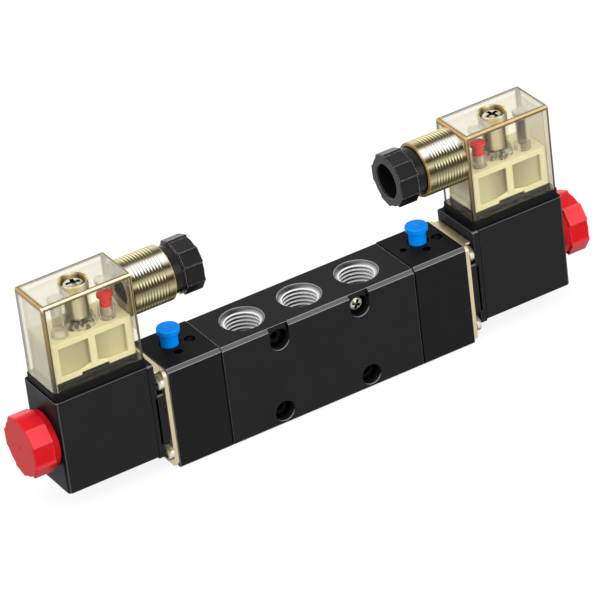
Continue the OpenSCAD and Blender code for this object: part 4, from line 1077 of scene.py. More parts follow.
class Form:
    """A solid that is being shaped, in millimetres."""

    def __init__(self) -> None:
        """Starts empty."""
        self.mesh = bmesh.new()

    def block(
        self, low: Place, high: Place, edge: float = 0.0, segments: int = 3, foot: bool = False
    ) -> "Form":
        """Adds a box with rounded edges.

        Args:
            low: Its lowest corner.
            high: Its highest corner.
            edge: Radius of its edges.
            segments: Facets of each rounded edge.
            foot: Whether the lowest face keeps sharp edges.

        Returns:
            This form.
        """
        corners = bmesh.ops.create_cube(self.mesh, size=1.0)["verts"]
        size = [top - bottom for bottom, top in zip(low, high)]
        bmesh.ops.scale(self.mesh, vec=size, verts=corners)
        bmesh.ops.translate(self.mesh, vec=(Vector(low) + Vector(high)) / 2, verts=corners)
        if edge:
            edges = once(link for corner in corners for link in corner.link_edges)
            if foot:
                floor = low[2] + MERGE_DISTANCE
                edges = [link for link in edges if any(end.co.z > floor for end in link.verts)]
            self._bevel(edges, edge, segments)
        return self

    def prism(
        self,
        outline: Sequence[Point],
        axis: Axis,
        start: float,
        end: float,
        edge: float = 0.0,
        segments: int = 2,
        rim: float = 0.0,
    ) -> "Form":
        """Draws an outline out into a bar.

        Args:
            outline: Its corners across the axis, in X, Y, Z order.
            axis: The direction it is drawn out in.
            start: Where it starts along the axis.
            end: Where it ends.
            edge: Radius of its edges.
            segments: Facets of each rounded edge.
            rim: Radius around its far end, where that differs.

        Returns:
            This form.
        """
        corners = [self.mesh.verts.new(axis.place(start, *corner)) for corner in outline]
        face = bmesh.ops.contextual_create(self.mesh, geom=corners)["faces"]
        grown = bmesh.ops.extrude_face_region(self.mesh, geom=face)["geom"]
        moved = [part for part in grown if isinstance(part, bmesh.types.BMVert)]
        bmesh.ops.translate(self.mesh, vec=axis.place(end - start, 0.0), verts=moved)
        faces = once(near for corner in corners + moved for near in corner.link_faces)
        bmesh.ops.recalc_face_normals(self.mesh, faces=faces)
        links = once(link for near in faces for link in near.edges)
        sharp = [link for link in links if link.calc_face_angle(0.0) > SHARP_ANGLE]
        if rim:
            far = [link for link in sharp if all(corner in moved for corner in link.verts)]
            self._bevel(far, rim, RIM_SEGMENTS)
        elif edge:
            self._bevel(sharp, edge, segments)
        return self

    def lathe(
        self,
        profile: Sequence[Point],
        axis: Axis,
        centre: Place = (0.0, 0.0, 0.0),
        steps: int = 72,
        ring: bool = False,
    ) -> "Form":
        """Turns a profile about an axis.

        Args:
            profile: Points as radius and distance along the axis.
            axis: The axis it is turned about.
            centre: A point on the axis.
            steps: Facets of a full turn.
            ring: Whether the last point joins the first.

        Returns:
            This form.
        """
        middle = Vector(centre)
        before = set(self.mesh.verts)
        points = [self.mesh.verts.new(middle + axis.place(along, radius)) for radius, along in profile]
        links = [self.mesh.edges.new(pair) for pair in zip(points, points[1:])]
        if ring:
            links.append(self.mesh.edges.new((points[-1], points[0])))
        bmesh.ops.spin(
            self.mesh, geom=points + links, cent=middle, axis=axis.value, dvec=(0.0, 0.0, 0.0),
            angle=2.0 * math.pi, steps=steps, use_merge=True,
        )
        made = [corner for corner in self.mesh.verts if corner not in before]
        bmesh.ops.remove_doubles(self.mesh, verts=made, dist=MERGE_DISTANCE)
        made = [corner for corner in self.mesh.verts if corner not in before]
        faces = once(near for corner in made for near in corner.link_faces)
        bmesh.ops.recalc_face_normals(self.mesh, faces=faces)
        return self

    def wound(self, foot: Place, length: float, radius: float, wire: float, turns: int) -> "Form":
        """Winds a compression spring upwards.

        Args:
            foot: Middle of its lower end.
            length: Its height.
            radius: Radius of the wire's middle.
            wire: Radius of the wire.
            turns: Number of its turns.

        Returns:
            This form.
        """
        middle = Vector(foot)
        steps = SPRING_STEPS * turns
        rise = (length - 2.0 * wire) / steps
        upright = Matrix.Rotation(math.radians(90.0), 4, "X")
        place = Matrix.Translation(middle + Vector((radius, 0.0, wire))) @ upright
        ring = bmesh.ops.create_circle(
            self.mesh, cap_ends=False, segments=WIRE_FACETS, radius=wire, matrix=place
        )["verts"]
        links = once(link for corner in ring for link in corner.link_edges)
        bmesh.ops.spin(
            self.mesh, geom=ring + links, cent=middle, axis=Axis.Z.value, dvec=(0.0, 0.0, rise),
            angle=2.0 * math.pi * turns, steps=steps,
        )
        bmesh.ops.holes_fill(self.mesh, edges=[link for link in self.mesh.edges if link.is_boundary])
        bmesh.ops.recalc_face_normals(self.mesh, faces=self.mesh.faces)
        return self

    def turned(self, angle: float, axis: Axis, centre: Place) -> "Form":
        """Turns the whole form.

        Args:
            angle: Degrees.
            axis: The axis's direction.
            centre: A point on it.

        Returns:
            This form.
        """
        turn = Matrix.Rotation(math.radians(angle), 3, Vector(axis.value))
        bmesh.ops.rotate(self.mesh, cent=centre, matrix=turn, verts=self.mesh.verts)
        return self

    def minus(self, tool: "Form") -> "Form":
        """Cuts another form away."""
        return self._combine(tool, "DIFFERENCE")

    def plus(self, other: "Form") -> "Form":
        """Joins another form on."""
        return self._combine(other, "UNION")

    def soften(
        self, radius: float, segments: int, axis: Axis | None = None, past: Place | None = None
    ) -> "Form":
        """Rounds the sharp edges, or only those that run one way.

        Args:
            radius: Radius of the rounding.
            segments: Facets of each rounded edge.
            axis: The way that the chosen edges run.
            past: Lowest corner of the room that the chosen edges lie in.

        Returns:
            This form.
        """
        chosen = [link for link in self.mesh.edges if link.calc_face_angle(0.0) > SHARP_ANGLE]
        if axis:
            ways = {link: (link.verts[1].co - link.verts[0].co).normalized() for link in chosen}
            chosen = [link for link in chosen if abs(ways[link].dot(Vector(axis.value))) > 0.99]
        if past:
            chosen = [
                link for link in chosen
                if all(value > least for corner in link.verts for value, least in zip(corner.co, past))
            ]
        self._bevel(chosen, radius, segments)
        return self

    def piece(
        self,
        name: str,
        finish: Finish,
        body: str,
        side: Side | None = None,
        replaces: Iterable[str] = (),
        crease: float = 32.0,
    ) -> bpy.types.Object:
        """Hands the form over as a piece of the model.

        Args:
            name: The piece's name, which gets the side's name in front.
            finish: Its surface.
            body: The moving body that it rides on.
            side: The end it belongs to; the left one is mirrored.
            replaces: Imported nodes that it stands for, which get the side's name too.
            crease: Angle in degrees past which an edge shades sharp.

        Returns:
            The new object.
        """
        prefix = f"{side.value}_" if side else ""
        bmesh.ops.remove_doubles(self.mesh, verts=self.mesh.verts, dist=MERGE_DISTANCE)
        bmesh.ops.scale(self.mesh, vec=(MM, MM, MM), verts=self.mesh.verts)
        if side is Side.LEFT:
            bmesh.ops.scale(self.mesh, vec=(-1.0, 1.0, 1.0), verts=self.mesh.verts)
            bmesh.ops.reverse_faces(self.mesh, faces=self.mesh.faces)
        made = self._object(prefix + name)
        made.data.polygons.foreach_set("use_smooth", [True] * len(made.data.polygons))
        made.data.set_sharp_from_angle(angle=math.radians(crease))
        made.data.materials.append(finish.material())
        even = made.modifiers.new("even_faces", "WEIGHTED_NORMAL")
        even.keep_sharp = True
        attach(made, prefix + body if side and body != "valve" else body)
        nodes = [prefix + node for node in replaces]
        if nodes:
            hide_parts(*nodes)
        stands = ", ".join(nodes) or "nothing"
        log.info("%s: %d faces, stands for %s", made.name, len(made.data.polygons), stands)
        return made

    def _bevel(self, edges: list[bmesh.types.BMEdge], radius: float, segments: int) -> None:
        """Rounds edges.

        Args:
            edges: The edges.
            radius: Their radius.
            segments: Facets of each.
        """
        bmesh.ops.bevel(
            self.mesh, geom=edges, offset=radius, offset_type="OFFSET", segments=segments, profile=0.5,
            affect="EDGES", material=-1, clamp_overlap=True,
        )

    def _object(self, name: str) -> bpy.types.Object:
        """Turns the form into a linked object and ends it."""
        data = bpy.data.meshes.new(name)
        self.mesh.to_mesh(data)
        self.mesh.free()
        made = bpy.data.objects.new(name, data)
        bpy.context.scene.collection.objects.link(made)
        return made

    def _combine(self, tool: "Form", operation: str) -> "Form":
        """Runs one boolean.

        Args:
            tool: The other form, which is used up.
            operation: The modifier's operation.

        Returns:
            This form, changed.
        """
        target = self._object("work")
        cutter = tool._object("tool")
        change = target.modifiers.new("combine", "BOOLEAN")
        change.operation = operation
        change.object = cutter
        change.solver = "EXACT"
        bpy.context.view_layer.update()
        ready = target.evaluated_get(bpy.context.evaluated_depsgraph_get())
        self.mesh = bmesh.new()
        self.mesh.from_mesh(ready.to_mesh())
        ready.to_mesh_clear()
        for used in (target, cutter):
            data = used.data
            bpy.data.objects.remove(used)
            bpy.data.meshes.remove(data)
        return self


def rounded(low: Point, high: Point, radius: float, facets: int = 5) -> list[Point]:
    """Gives the outline of a rectangle with round corners.

    Args:
        low: Its lowest corner.
        high: Its highest corner.
        radius: Radius of its corners.
        facets: Facets of each corner.

    Returns:
        The outline's points, anticlockwise.
    """
    centres = (
        (high[0] - radius, high[1] - radius), (low[0] + radius, high[1] - radius),
        (low[0] + radius, low[1] + radius), (high[0] - radius, low[1] + radius),
    )
    return [
        (x + radius * math.cos(angle), y + radius * math.sin(angle))
        for quarter, (x, y) in enumerate(centres)
        for angle in (math.radians(90 * (quarter + step / facets)) for step in range(facets + 1))
    ]


def rod(radius: float, start: float, end: float) -> list[Point]:
    """Gives the profile of a plain rod, from one height to another."""
    return [(0.0, start), (radius, start), (radius, end), (0.0, end)]


def grip(ribs: int, rib: float, valley: float, centre: Point) -> list[Point]:
    """Gives the outline of a grip with raised flats between lower ones.

    Args:
        ribs: Number of raised flats.
        rib: Radius over them.
        valley: Radius between them.
        centre: The grip's middle.

    Returns:
        The outline's points.
    """
    stops = ((0.0, rib), (0.43, rib), (0.47, valley), (0.68, valley), (0.89, valley))
    turn = 54.0
    corners = [(number + part, radius) for number in range(ribs) for part, radius in stops]
    angles = [(math.radians(turn + place * 360 / ribs), radius) for place, radius in corners]
    return [
        (centre[0] + radius * math.cos(angle), centre[1] + radius * math.sin(angle))
        for angle, radius in angles
    ]


@dataclass(frozen=True)
class CrossScrew:
    """The head of a screw with a cross recess, standing along an axis; shares are of its radius or height."""

    radius: float
    height: float
    crown: float = 0.35
    turn: float = 0.0
    soft_share: float = 0.28
    flat_share: float = 0.55
    arm_share: float = 0.20
    reach_share: float = 0.68
    depth_share: float = 0.6

    def form(self, seat: Place, axis: Axis, outward: float) -> Form:
        """Shapes the head.

        Args:
            seat: Middle of its seat.
            axis: The screw's axis.
            outward: 1 where the head points along the axis, -1 against it.

        Returns:
            The form.
        """
        top = self.height
        soft = self.soft_share * self.radius
        profile = [(0.0, 0.0), (self.radius, 0.0), (self.radius, top - self.crown - soft)]
        profile += [
            (self.radius - soft * (1 - math.cos(angle)), top - self.crown - soft * (1 - math.sin(angle)))
            for angle in (math.radians(step * 22.5) for step in range(1, 5))
        ]
        profile += [(self.flat_share * self.radius, top - self.crown * 0.25), (0.0, top)]
        head = Form().lathe([(r, a * outward) for r, a in profile], axis, seat, 48)
        arm = self.arm_share * self.radius
        reach = self.reach_share * self.radius
        depth = self.depth_share * top
        tool = Form()
        for wide, tall in ((reach, arm), (arm, reach)):
            near = axis.place((top - depth) * outward, -wide, -tall)
            far = axis.place((top + 1.0) * outward, wide, tall)
            low = tuple(min(pair) for pair in zip(near, far))
            high = tuple(max(pair) for pair in zip(near, far))
            tool = tool.block(low, high) if not tool.mesh.verts else tool.plus(Form().block(low, high))
        tool.turned(self.turn, axis, (0.0, 0.0, 0.0))
        bmesh.ops.translate(tool.mesh, vec=seat, verts=tool.mesh.verts)
        return head.minus(tool)


@dataclass
class SpoolBody:
    """The ported body, with its linings and its lock screw."""

    height: float = 35.0
    top_ports: tuple[tuple[str, float], ...] = (("a", -21.0), ("b", 0.0), ("c", 21.0))
    lower_ports: tuple[tuple[str, float], ...] = (("a", -10.0), ("c", 10.0))
    crest: float = 5.66
    root: float = 6.52
    pitch: float = 1.337
    flanks: Place = (0.25, 0.5, 0.7)
    turns: int = 6
    mouth: float = 7.25
    depth: float = 10.35
    passage: float = 3.56
    passage_depth: float = 2.5
    shell: float = 0.02
    mouth_gap: float = 0.06
    lock_seat: Place = (14.7, -7.7, 29.9)
    lock_head: CrossScrew = CrossScrew(2.3, 1.7, turn=25.0)
    lock_shank: Point = (1.25, 2.5)

    def build(self) -> None:
        """Dresses the body and the spool, and shapes the ports' linings and the lock screw."""
        dress("spool", SPOOL_METAL)
        dress("spool_seals", RUBBER)
        dress("valve_body", BODY_ANODISED)
        for letter, x in self.top_ports:
            self.lining(f"top_port_lining_{letter}", x, self.height, -1.0)
        for letter, x in self.lower_ports:
            self.lining(f"lower_port_lining_{letter}", x, 0.0, 1.0)
        head = self.lock_head.form(self.lock_seat, Axis.Y, -1.0)
        radius, length = self.lock_shank
        head.lathe(rod(radius, 0.0, length), Axis.Y, self.lock_seat, 32)
        head.piece("lock_screw_head", SCREW, "valve", replaces=["lock_screw"])

    def lining(self, name: str, x: float, face: float, inward: float) -> None:
        """Lines one port with its bright cut thread.

        Args:
            name: The lining's name.
            x: The port's place along the valve.
            face: Height of the face it opens in.
            inward: 1 where it runs upwards, -1 where it runs downwards.
        """
        lead = self.mouth - self.root - self.mouth_gap
        profile = [(self.mouth - self.mouth_gap, -0.005)]
        for turn in range(self.turns):
            start = lead + turn * self.pitch
            down, low, high = (start + share * self.pitch for share in self.flanks)
            profile += [(self.root, start), (self.root, down), (self.crest, low), (self.crest, high)]
        profile += [(self.crest, lead + self.turns * self.pitch), (self.crest, self.depth)]
        profile += [(self.passage, self.depth), (self.passage, self.depth + self.passage_depth)]
        outer = [(radius + self.shell, along) for radius, along in reversed(profile)]
        # The lining carries a small painted glow that lifts its darks.
        finish = ThreadFinish(
            f"port_metal_finish_{round(x)}", "bare_aluminium", (0.93, 0.93, 0.94), (0.70, 0.70, 0.71), 0.25,
            metallic=0.15, specular=0.3, grain_mm=0.3, bump=0.08, centre=x, glow=0.12,
        )
        ring = Form().lathe(
            [(r, a * inward) for r, a in profile + outer], Axis.Z, (x, 0.0, face), 96, ring=True
        )
        ring.piece(name, finish, "valve", crease=25.0)


@dataclass
class PilotEnd:
    """A pilot cap with its gasket, plate, screws and override button."""

    side: Side
    plate_start: float = 54.5
    plate_end: float = 56.0
    plate_half: float = 11.3
    plate_low: float = 0.4
    plate_high: float = 35.1
    lip_end: float = 58.0
    lip_half: float = 9.0
    lip_low: float = 34.2
    corner: float = 2.0
    screws: tuple[Point, ...] = ((-8.8, 5.5), (8.8, 5.5), (-8.8, 31.0), (8.8, 31.0))
    screw_radius: float = 2.7
    screw_height: float = 2.2
    screw_turns: Point = (17.0, 31.0)
    button: Point = (45.55, 2.3)
    stem_start: float = 32.3
    head_start: float = 39.4
    head_end: float = 41.1
    stem_radius: float = 2.9
    head_radius: float = 3.7
    button_travel: float = 1.5
    spring_foot: float = 28.0
    spring_length: float = 3.5
    spring_radius: float = 2.3
    spring_wire: float = 0.28
    spring_turns: int = 3

    def build(self) -> None:
        """Builds and dresses the end."""
        dress("pilot_cap", ANODISED, self.side)
        dress("piston", BRASS, self.side)
        dress("override_pin", STEEL, self.side)
        for node in ("cap_gasket", "piston_seal", "tube_seal"):
            dress(node, RUBBER, self.side)
        self.plate()
        self.plate_screws()
        self.override_button()
        self.button_spring()

    def plate(self) -> None:
        """Shapes the adapter plate with softened corners, and its lip towards the coil."""
        outline = rounded(
            (-self.plate_half, self.plate_low), (self.plate_half, self.plate_high), self.corner, 6
        )
        plate = Form().prism(outline, Axis.X, self.plate_start, self.plate_end, 0.22, 2)
        lip = Form().block(
            (self.plate_end - 0.7, -self.lip_half, self.lip_low),
            (self.lip_end, self.lip_half, self.plate_high), 0.2, 2,
        )
        plate = plate.plus(lip)
        plate.piece("plate", CHAMPAGNE, "valve", self.side, ["adapter_plate"])

    def plate_screws(self) -> None:
        """Shapes the four plate screws, each turned its own way."""
        every = None
        first, step = self.screw_turns
        for number, (y, z) in enumerate(self.screws):
            head = CrossScrew(self.screw_radius, self.screw_height, turn=first + step * number)
            form = head.form((self.plate_end, y, z), Axis.X, 1.0)
            every = form if every is None else every.plus(form)
        every.piece("plate_screw_heads", SCREW, "valve", self.side, ["plate_screws"])

    def override_button(self) -> None:
        """Turns the button with a softened head and a small dimple."""
        head, stem = self.head_radius, self.stem_radius
        profile = [
            (0.0, self.stem_start), (stem, self.stem_start), (stem - 0.15, self.head_start - 0.25),
            (stem + 0.1, self.head_start), (head - 0.2, self.head_start), (head, self.head_start + 0.2),
            (head, self.head_end - 0.3), (head - 0.09, self.head_end - 0.09), (head - 0.3, self.head_end),
            (0.5, self.head_end), (0.38, self.head_end - 0.06), (0.3, self.head_end - 0.22),
            (0.0, self.head_end - 0.26),
        ]
        form = Form().lathe(profile, Axis.Z, (*self.button, 0.0), 64)
        form.piece("override_knob", BLUE, "override_button", self.side, ["override_button"])

    def button_spring(self) -> None:
        """Winds the button's spring at one length and gives it a mesh of its own."""
        foot = (*self.button, self.spring_foot)
        form = Form().wound(
            foot, self.spring_length, self.spring_radius, self.spring_wire, self.spring_turns
        )
        made = form.piece("button_spring_coils", STEEL, "valve", self.side, ["override_spring"])
        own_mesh(made)


@dataclass
class Coil:
    """A moulded coil with its flange, armature and red nut."""

    side: Side
    flange_start: float = 58.4
    start: float = 60.6
    end: float = 92.6
    half: float = 10.3
    bottom: float = 6.0
    top: float = 38.6
    drop: float = 1.0
    axis: float = 22.0
    edge: float = 0.9
    boss_start: float = 56.2
    boss_low: float = 9.2
    boss_high: float = 27.3
    nut_start: float = 92.65
    nut_collar: float = 94.95
    nut_end: float = 101.85
    ribs: int = 5
    rib: float = 10.4
    valley: float = 9.6
    collar_step: float = 0.2
    dimple: float = 0.5

    def build(self) -> None:
        """Builds and dresses the coil."""
        dress("coil_winding", COPPER, self.side)
        for node in ("armature_tube", "plunger", "plunger_spring", "yoke"):
            dress(node, STEEL, self.side)
        self.shell()
        self.front()
        self.nut()

    def shell(self) -> None:
        """Shapes the moulded shell, whose upright corners are rounder at the outer end."""
        form = Form().block((self.start + 0.06, -self.half, self.bottom), (self.end, self.half, self.top))
        form.soften(1.4, 6, Axis.Z, (self.end - 0.1, -self.half - 1.0, self.bottom - 1.0))
        form.soften(0.4, 3)
        form.piece("coil_moulding", BLACK_MOULDING, "valve", self.side, ["coil_shell"])

    def front(self) -> None:
        """Shapes the bobbin's front flange and the boss between the screw heads."""
        outline = rounded((-self.half, self.bottom - self.drop), (self.half, self.top), self.edge, 5)
        form = Form().prism(outline, Axis.X, self.flange_start, self.start, 0.35, 3)
        boss = rounded((-self.half, self.boss_low), (self.half, self.boss_high), 0.8, 4)
        form = form.plus(Form().prism(boss, Axis.X, self.boss_start, self.flange_start + 1.0, 0.3, 2))
        form.piece("bobbin_front", BLACK_MOULDING, "valve", self.side, ["bobbin"])

    def nut(self) -> None:
        """Shapes the red nut: a round collar, then the faceted grip with softened edges."""
        middle = (0.0, self.axis)
        outline = grip(self.ribs, self.rib, self.valley, middle)
        form = Form().prism(outline, Axis.X, self.nut_collar, self.nut_end, rim=0.55)
        round_part = self.valley - self.collar_step
        collar = [
            (0.0, self.nut_start), (round_part - 0.25, self.nut_start), (round_part, self.nut_start + 0.25),
            (round_part, self.nut_collar + 0.5), (0.0, self.nut_collar + 0.5),
        ]
        form = form.plus(Form().lathe(collar, Axis.X, (0.0, 0.0, self.axis), 80))
        past = self.nut_end + 0.5
        dimple = [(0.0, self.nut_end - 0.4), (0.42, self.nut_end - 0.35), (self.dimple, past), (0.0, past)]
        form = form.minus(Form().lathe(dimple, Axis.X, (0.0, 0.0, self.axis), 24))
        form.piece("coil_knob", RED, "coil_nut", self.side, ["coil_nut"], crease=20.0)


@dataclass
class Connector:
    """A clear plug connector with its block, lights, screw and cable gland.

    The profiles among its fields are pairs of a radius and a height.
    """

    side: Side
    start: float = 60.2
    end: float = 91.6
    half: float = 8.8
    coil_top: float = 38.6
    bottom: float = 41.2
    top: float = 71.4
    wall: float = 1.3
    lid: float = 1.6
    lip: float = 0.35
    base_top: float = 43.0
    block_top: float = 56.5
    block_half: float = 7.2
    screw_x: float = 75.9
    screw_axis: Place = (75.9, 0.0, 0.0)
    panel_low: float = 44.8
    panel_high: float = 54.6
    panel_margin: float = 2.4
    panel_depth: float = 1.4
    rib_half: float = 1.15
    recess: tuple[Place, Place] = ((71.1, -9.0, 42.0), (80.7, 9.0, 43.95))
    screw_hole: float = 1.7
    wedge: tuple[Point, ...] = ((0.8, 44.5), (6.4, 44.5), (0.8, 45.9))
    screw_seat: float = 68.9
    screw_head: CrossScrew = CrossScrew(3.4, 1.8, 0.2, 12.0)
    shank: tuple[Point, ...] = (
        (0.0, 33.6), (1.3, 33.6), (1.5, 34.0), (1.5, 59.2), (3.5, 59.2), (3.7, 59.4), (3.7, 68.7),
        (3.55, 68.88), (0.0, 68.88),
    )
    well: float = 4.65
    well_bore: float = 4.05
    well_floor: float = 57.7
    well_step: float = 67.4
    post: tuple[Point, ...] = ((0.0, 56.53), (5.6, 56.53), (5.0, 58.5), (4.65, 58.6))
    bulb: tuple[Point, ...] = (
        (0.0, 57.55), (1.75, 57.55), (1.9, 57.7), (1.85, 63.6), (2.4, 63.7), (2.55, 63.9), (2.55, 64.7),
        (2.4, 64.9), (1.8, 64.95), (1.6, 65.2), (1.2, 65.4), (0.0, 65.5),
    )
    light_dx: float = 8.3
    light_y: float = -3.0
    gland_z: float = 61.9
    gland_axis: Place = (0.0, 0.0, 61.9)
    gland_rim: float = 45.8
    gland_radius: float = 9.1
    thread_crest: float = 7.9
    thread_root: float = 8.45
    thread_pitch: float = 1.41
    thread_turns: int = 7
    nut_face: float = 35.5
    nut_end: float = 42.2
    spigot_end: float = 52.6
    nut_ribs: int = 5
    nut_rib: float = 9.15
    nut_valley: float = 8.45
    neck: float = 7.8
    cable: float = 5.6

    def build(self) -> None:
        """Builds and dresses the connector."""
        dress("terminal_blades", BRASS, self.side)
        dress("gland_seal", RUBBER, self.side)
        self.base()
        self.cover()
        self.block()
        self.screw()
        self.lamp()
        self.light_guides()
        self.nut()

    def base(self) -> None:
        """Shapes the base gasket with its lip and its upstand inside the cover."""
        form = Form().prism(
            self.outline(-self.lip, 1.2), Axis.Z, self.coil_top + 0.02, self.bottom - 0.02, 0.3, 3
        )
        inner = self.outline(self.wall + 0.08, 0.6)
        form = form.plus(Form().prism(inner, Axis.Z, self.bottom - 0.5, self.base_top - 0.03, 0.15, 2))
        form.piece("base_seal", RUBBER, "valve", self.side, ["connector_base"])

    def outline(self, inset: float, corner: float) -> list[Point]:
        """Gives the cover's outline seen from above.

        Args:
            inset: How far it is drawn in.
            corner: Radius of its corners.

        Returns:
            The outline's points.
        """
        low, high = (self.start + inset, -self.half + inset), (self.end - inset, self.half - inset)
        return rounded(low, high, corner)

    def cover(self) -> None:
        """Shapes the clear cover: box, gland tube with its inner thread, and screw well."""
        low, high = (self.start, -self.half, self.bottom), (self.end, self.half, self.top)
        form = Form().block(low, high, 0.8, 4, foot=True)
        wall = self.wall
        hollow = Form().block(
            (self.start + wall, -self.half + wall, self.bottom - 2.0),
            (self.end - wall, self.half - wall, self.top - self.lid), 0.5, 3,
        )
        form = form.minus(hollow)
        way = rod(self.cable, self.start - 1.0, self.start + 2.0)
        form = form.minus(Form().lathe(way, Axis.X, self.gland_axis, 96))
        post = [*self.post, (self.well, self.top - 0.5), (0.0, self.top - 0.5)]
        form = form.plus(Form().lathe(post, Axis.Z, self.screw_axis, 64))
        wide, past = self.well + 0.12, self.top + 1.0
        bore = [
            (0.0, self.well_floor), (self.well_bore, self.well_floor), (self.well_bore, self.well_step),
            (wide, self.well_step), (wide, past), (0.0, past),
        ]
        form = form.minus(Form().lathe(bore, Axis.Z, self.screw_axis, 64))
        form.piece("clear_cover", AMBER, "valve", self.side, ["connector_cover"])
        self.well_rim()
        self.gland_tube()

    def well_rim(self) -> None:
        """Turns the bright rim of the screw's well."""
        outer, inner, top = self.well + 0.06, self.well_bore + 0.02, self.top - 0.02
        foot = self.well_step + 0.06
        ring = [
            (inner, foot), (outer, foot), (outer, top - 0.1), (outer - 0.1, top), (inner + 0.25, top),
            (inner, top - 0.3),
        ]
        form = Form().lathe(ring, Axis.Z, self.screw_axis, 64, ring=True)
        form.piece("well_rim", WELL_RIM, "valve", self.side)

    def gland_tube(self) -> None:
        """Turns the gland tube with its rounded rim and its threaded bore."""
        rim, radius, foot = self.gland_rim, self.gland_radius, self.start - 0.03
        profile = [(radius - 0.35, rim), (radius - 0.1, rim + 0.1), (radius, rim + 0.35), (radius, foot)]
        profile += [(self.cable, foot), *reversed(self.gland_bore())]
        form = Form().lathe(profile, Axis.X, self.gland_axis, 96, ring=True)
        form.piece("gland_tube", GLAND_METAL, "valve", self.side, crease=25.0)

    def gland_bore(self) -> list[Point]:
        """Gives the profile of the gland's threaded bore, from its rim to its floor."""
        first = self.gland_rim + 3.2
        profile = [(self.thread_crest + 0.2, self.gland_rim), (self.thread_crest, self.gland_rim + 0.3)]
        for turn in range(self.thread_turns):
            start = first + turn * self.thread_pitch
            profile += [
                (self.thread_crest, start), (self.thread_root, start + 0.45 * self.thread_pitch),
                (self.thread_root, start + 0.6 * self.thread_pitch),
            ]
        last = first + self.thread_turns * self.thread_pitch
        floor = self.start - 0.6
        return profile + [(self.thread_crest, last), (self.thread_crest, floor), (self.cable, floor)]

    def block(self) -> None:
        """Shapes the terminal block with its recessed panels, its wedges and its stepped foot."""
        start, end = self.start + self.wall + 0.35, self.end - self.wall - 0.35
        half, middle = self.block_half, self.screw_x
        form = Form().block((start, -half, self.base_top), (end, half, self.block_top), 0.25, 2)
        spans = (
            (start + self.panel_margin, middle - self.rib_half),
            (middle + self.rib_half, end - self.panel_margin),
        )
        for face in (-1.0, 1.0):
            panels = Form()
            inner, outer = sorted((face * (half - self.panel_depth), face * (half + 1.0)))
            for low, high in spans:
                panels.block((low, inner, self.panel_low), (high, outer, self.panel_high), 0.15, 2)
            form = form.minus(panels)
        for face in (-1.0, 1.0):
            for way in (-1.0, 1.0):
                form = form.plus(self.gusset(face, way))
        form = form.minus(Form().block(*self.recess))
        hole = rod(self.screw_hole, self.base_top - 1.0, self.block_top + 1.0)
        form = form.minus(Form().lathe(hole, Axis.Z, self.screw_axis, 32))
        form.piece("terminal_moulding", CREAM, "valve", self.side, ["terminal_block"])

    def gusset(self, face: float, way: float) -> Form:
        """Shapes the low wedge at the foot of the rib between two panels.

        Args:
            face: -1 for the front of the block, 1 for its back.
            way: The side of the rib, -1 or 1.

        Returns:
            The wedge.
        """
        inner, outer = sorted((face * (self.block_half - 1.6), face * (self.block_half - 0.25)))
        outline = [(self.screw_x + way * reach, height) for reach, height in self.wedge]
        return Form().prism(outline, Axis.Y, inner, outer)

    def screw(self) -> None:
        """Shapes the connector screw: a cross head, a thick body and a long shank."""
        head = self.screw_head.form((self.screw_x, 0.0, self.screw_seat), Axis.Z, 1.0)
        head.piece("connector_screw_cross", SCREW, "connector_screw", self.side)
        body = Form().lathe(self.shank, Axis.Z, self.screw_axis, 48)
        body.piece("connector_screw_body", COLUMN_METAL, "connector_screw", self.side, ["connector_screw"])

    def lamp(self) -> None:
        """Turns the red lamp with its rim and its low dome."""
        form = Form().lathe(self.bulb, Axis.Z, (self.screw_x - self.light_dx, self.light_y, 0.0), 48)
        form.piece("lamp_bulb", LAMP_RED, "valve", self.side, ["indicator_lamp"])

    def light_guides(self) -> None:
        """Turns the clear rings, the plain light guide and the lenses under the lid."""
        lid = self.top - self.lid - 0.04
        foot = self.block_top + 0.03
        socket = [(1.97, foot), (2.7, foot), (2.7, 60.2), (2.5, 60.4), (1.97, 60.4)]
        lens = [
            (0.0, lid - 2.4), (1.5, lid - 2.3), (2.2, lid - 1.8), (2.5, lid - 1.0), (2.5, lid), (0.0, lid),
        ]
        guide = [
            (0.0, foot), (2.7, foot), (2.7, foot + 1.8), (2.5, foot + 2.0), (1.8, foot + 2.05),
            (1.8, lid - 1.7), (2.4, lid - 1.3), (2.5, lid), (0.0, lid),
        ]
        over_lamp = (self.screw_x - self.light_dx, self.light_y, 0.0)
        form = Form().lathe(socket, Axis.Z, over_lamp, 48, ring=True)
        form.lathe(lens, Axis.Z, over_lamp, 48)
        form.lathe(guide, Axis.Z, (self.screw_x + self.light_dx, self.light_y, 0.0), 48)
        form.piece("light_guides", CLEAR, "valve", self.side, ["light_pipes"])

    def nut(self) -> None:
        """Shapes the gland nut: faceted grip, round neck and bored hole."""
        outline = grip(self.nut_ribs, self.nut_rib, self.nut_valley, (0.0, self.gland_z))
        form = Form().prism(outline, Axis.X, self.nut_end, self.nut_face, rim=0.45)
        neck = [
            (0.0, self.nut_end - 0.6), (self.neck - 0.3, self.nut_end - 0.6), (self.neck, self.nut_end + 0.4),
            (self.neck, self.spigot_end - 0.3), (self.neck - 0.3, self.spigot_end), (0.0, self.spigot_end),
        ]
        form = form.plus(Form().lathe(neck, Axis.X, self.gland_axis, 80))
        bore = [
            (0.0, self.nut_face - 1.0), (self.cable + 0.6, self.nut_face - 1.0),
            (self.cable + 0.3, self.nut_face), (self.cable, self.nut_face + 0.4),
            (self.cable, self.spigot_end + 1.0), (0.0, self.spigot_end + 1.0),
        ]
        form = form.minus(Form().lathe(bore, Axis.X, self.gland_axis, 80))
        form.piece("gland_cap", NUT_MOULDING, "gland_nut", self.side, ["gland_nut"], crease=20.0)


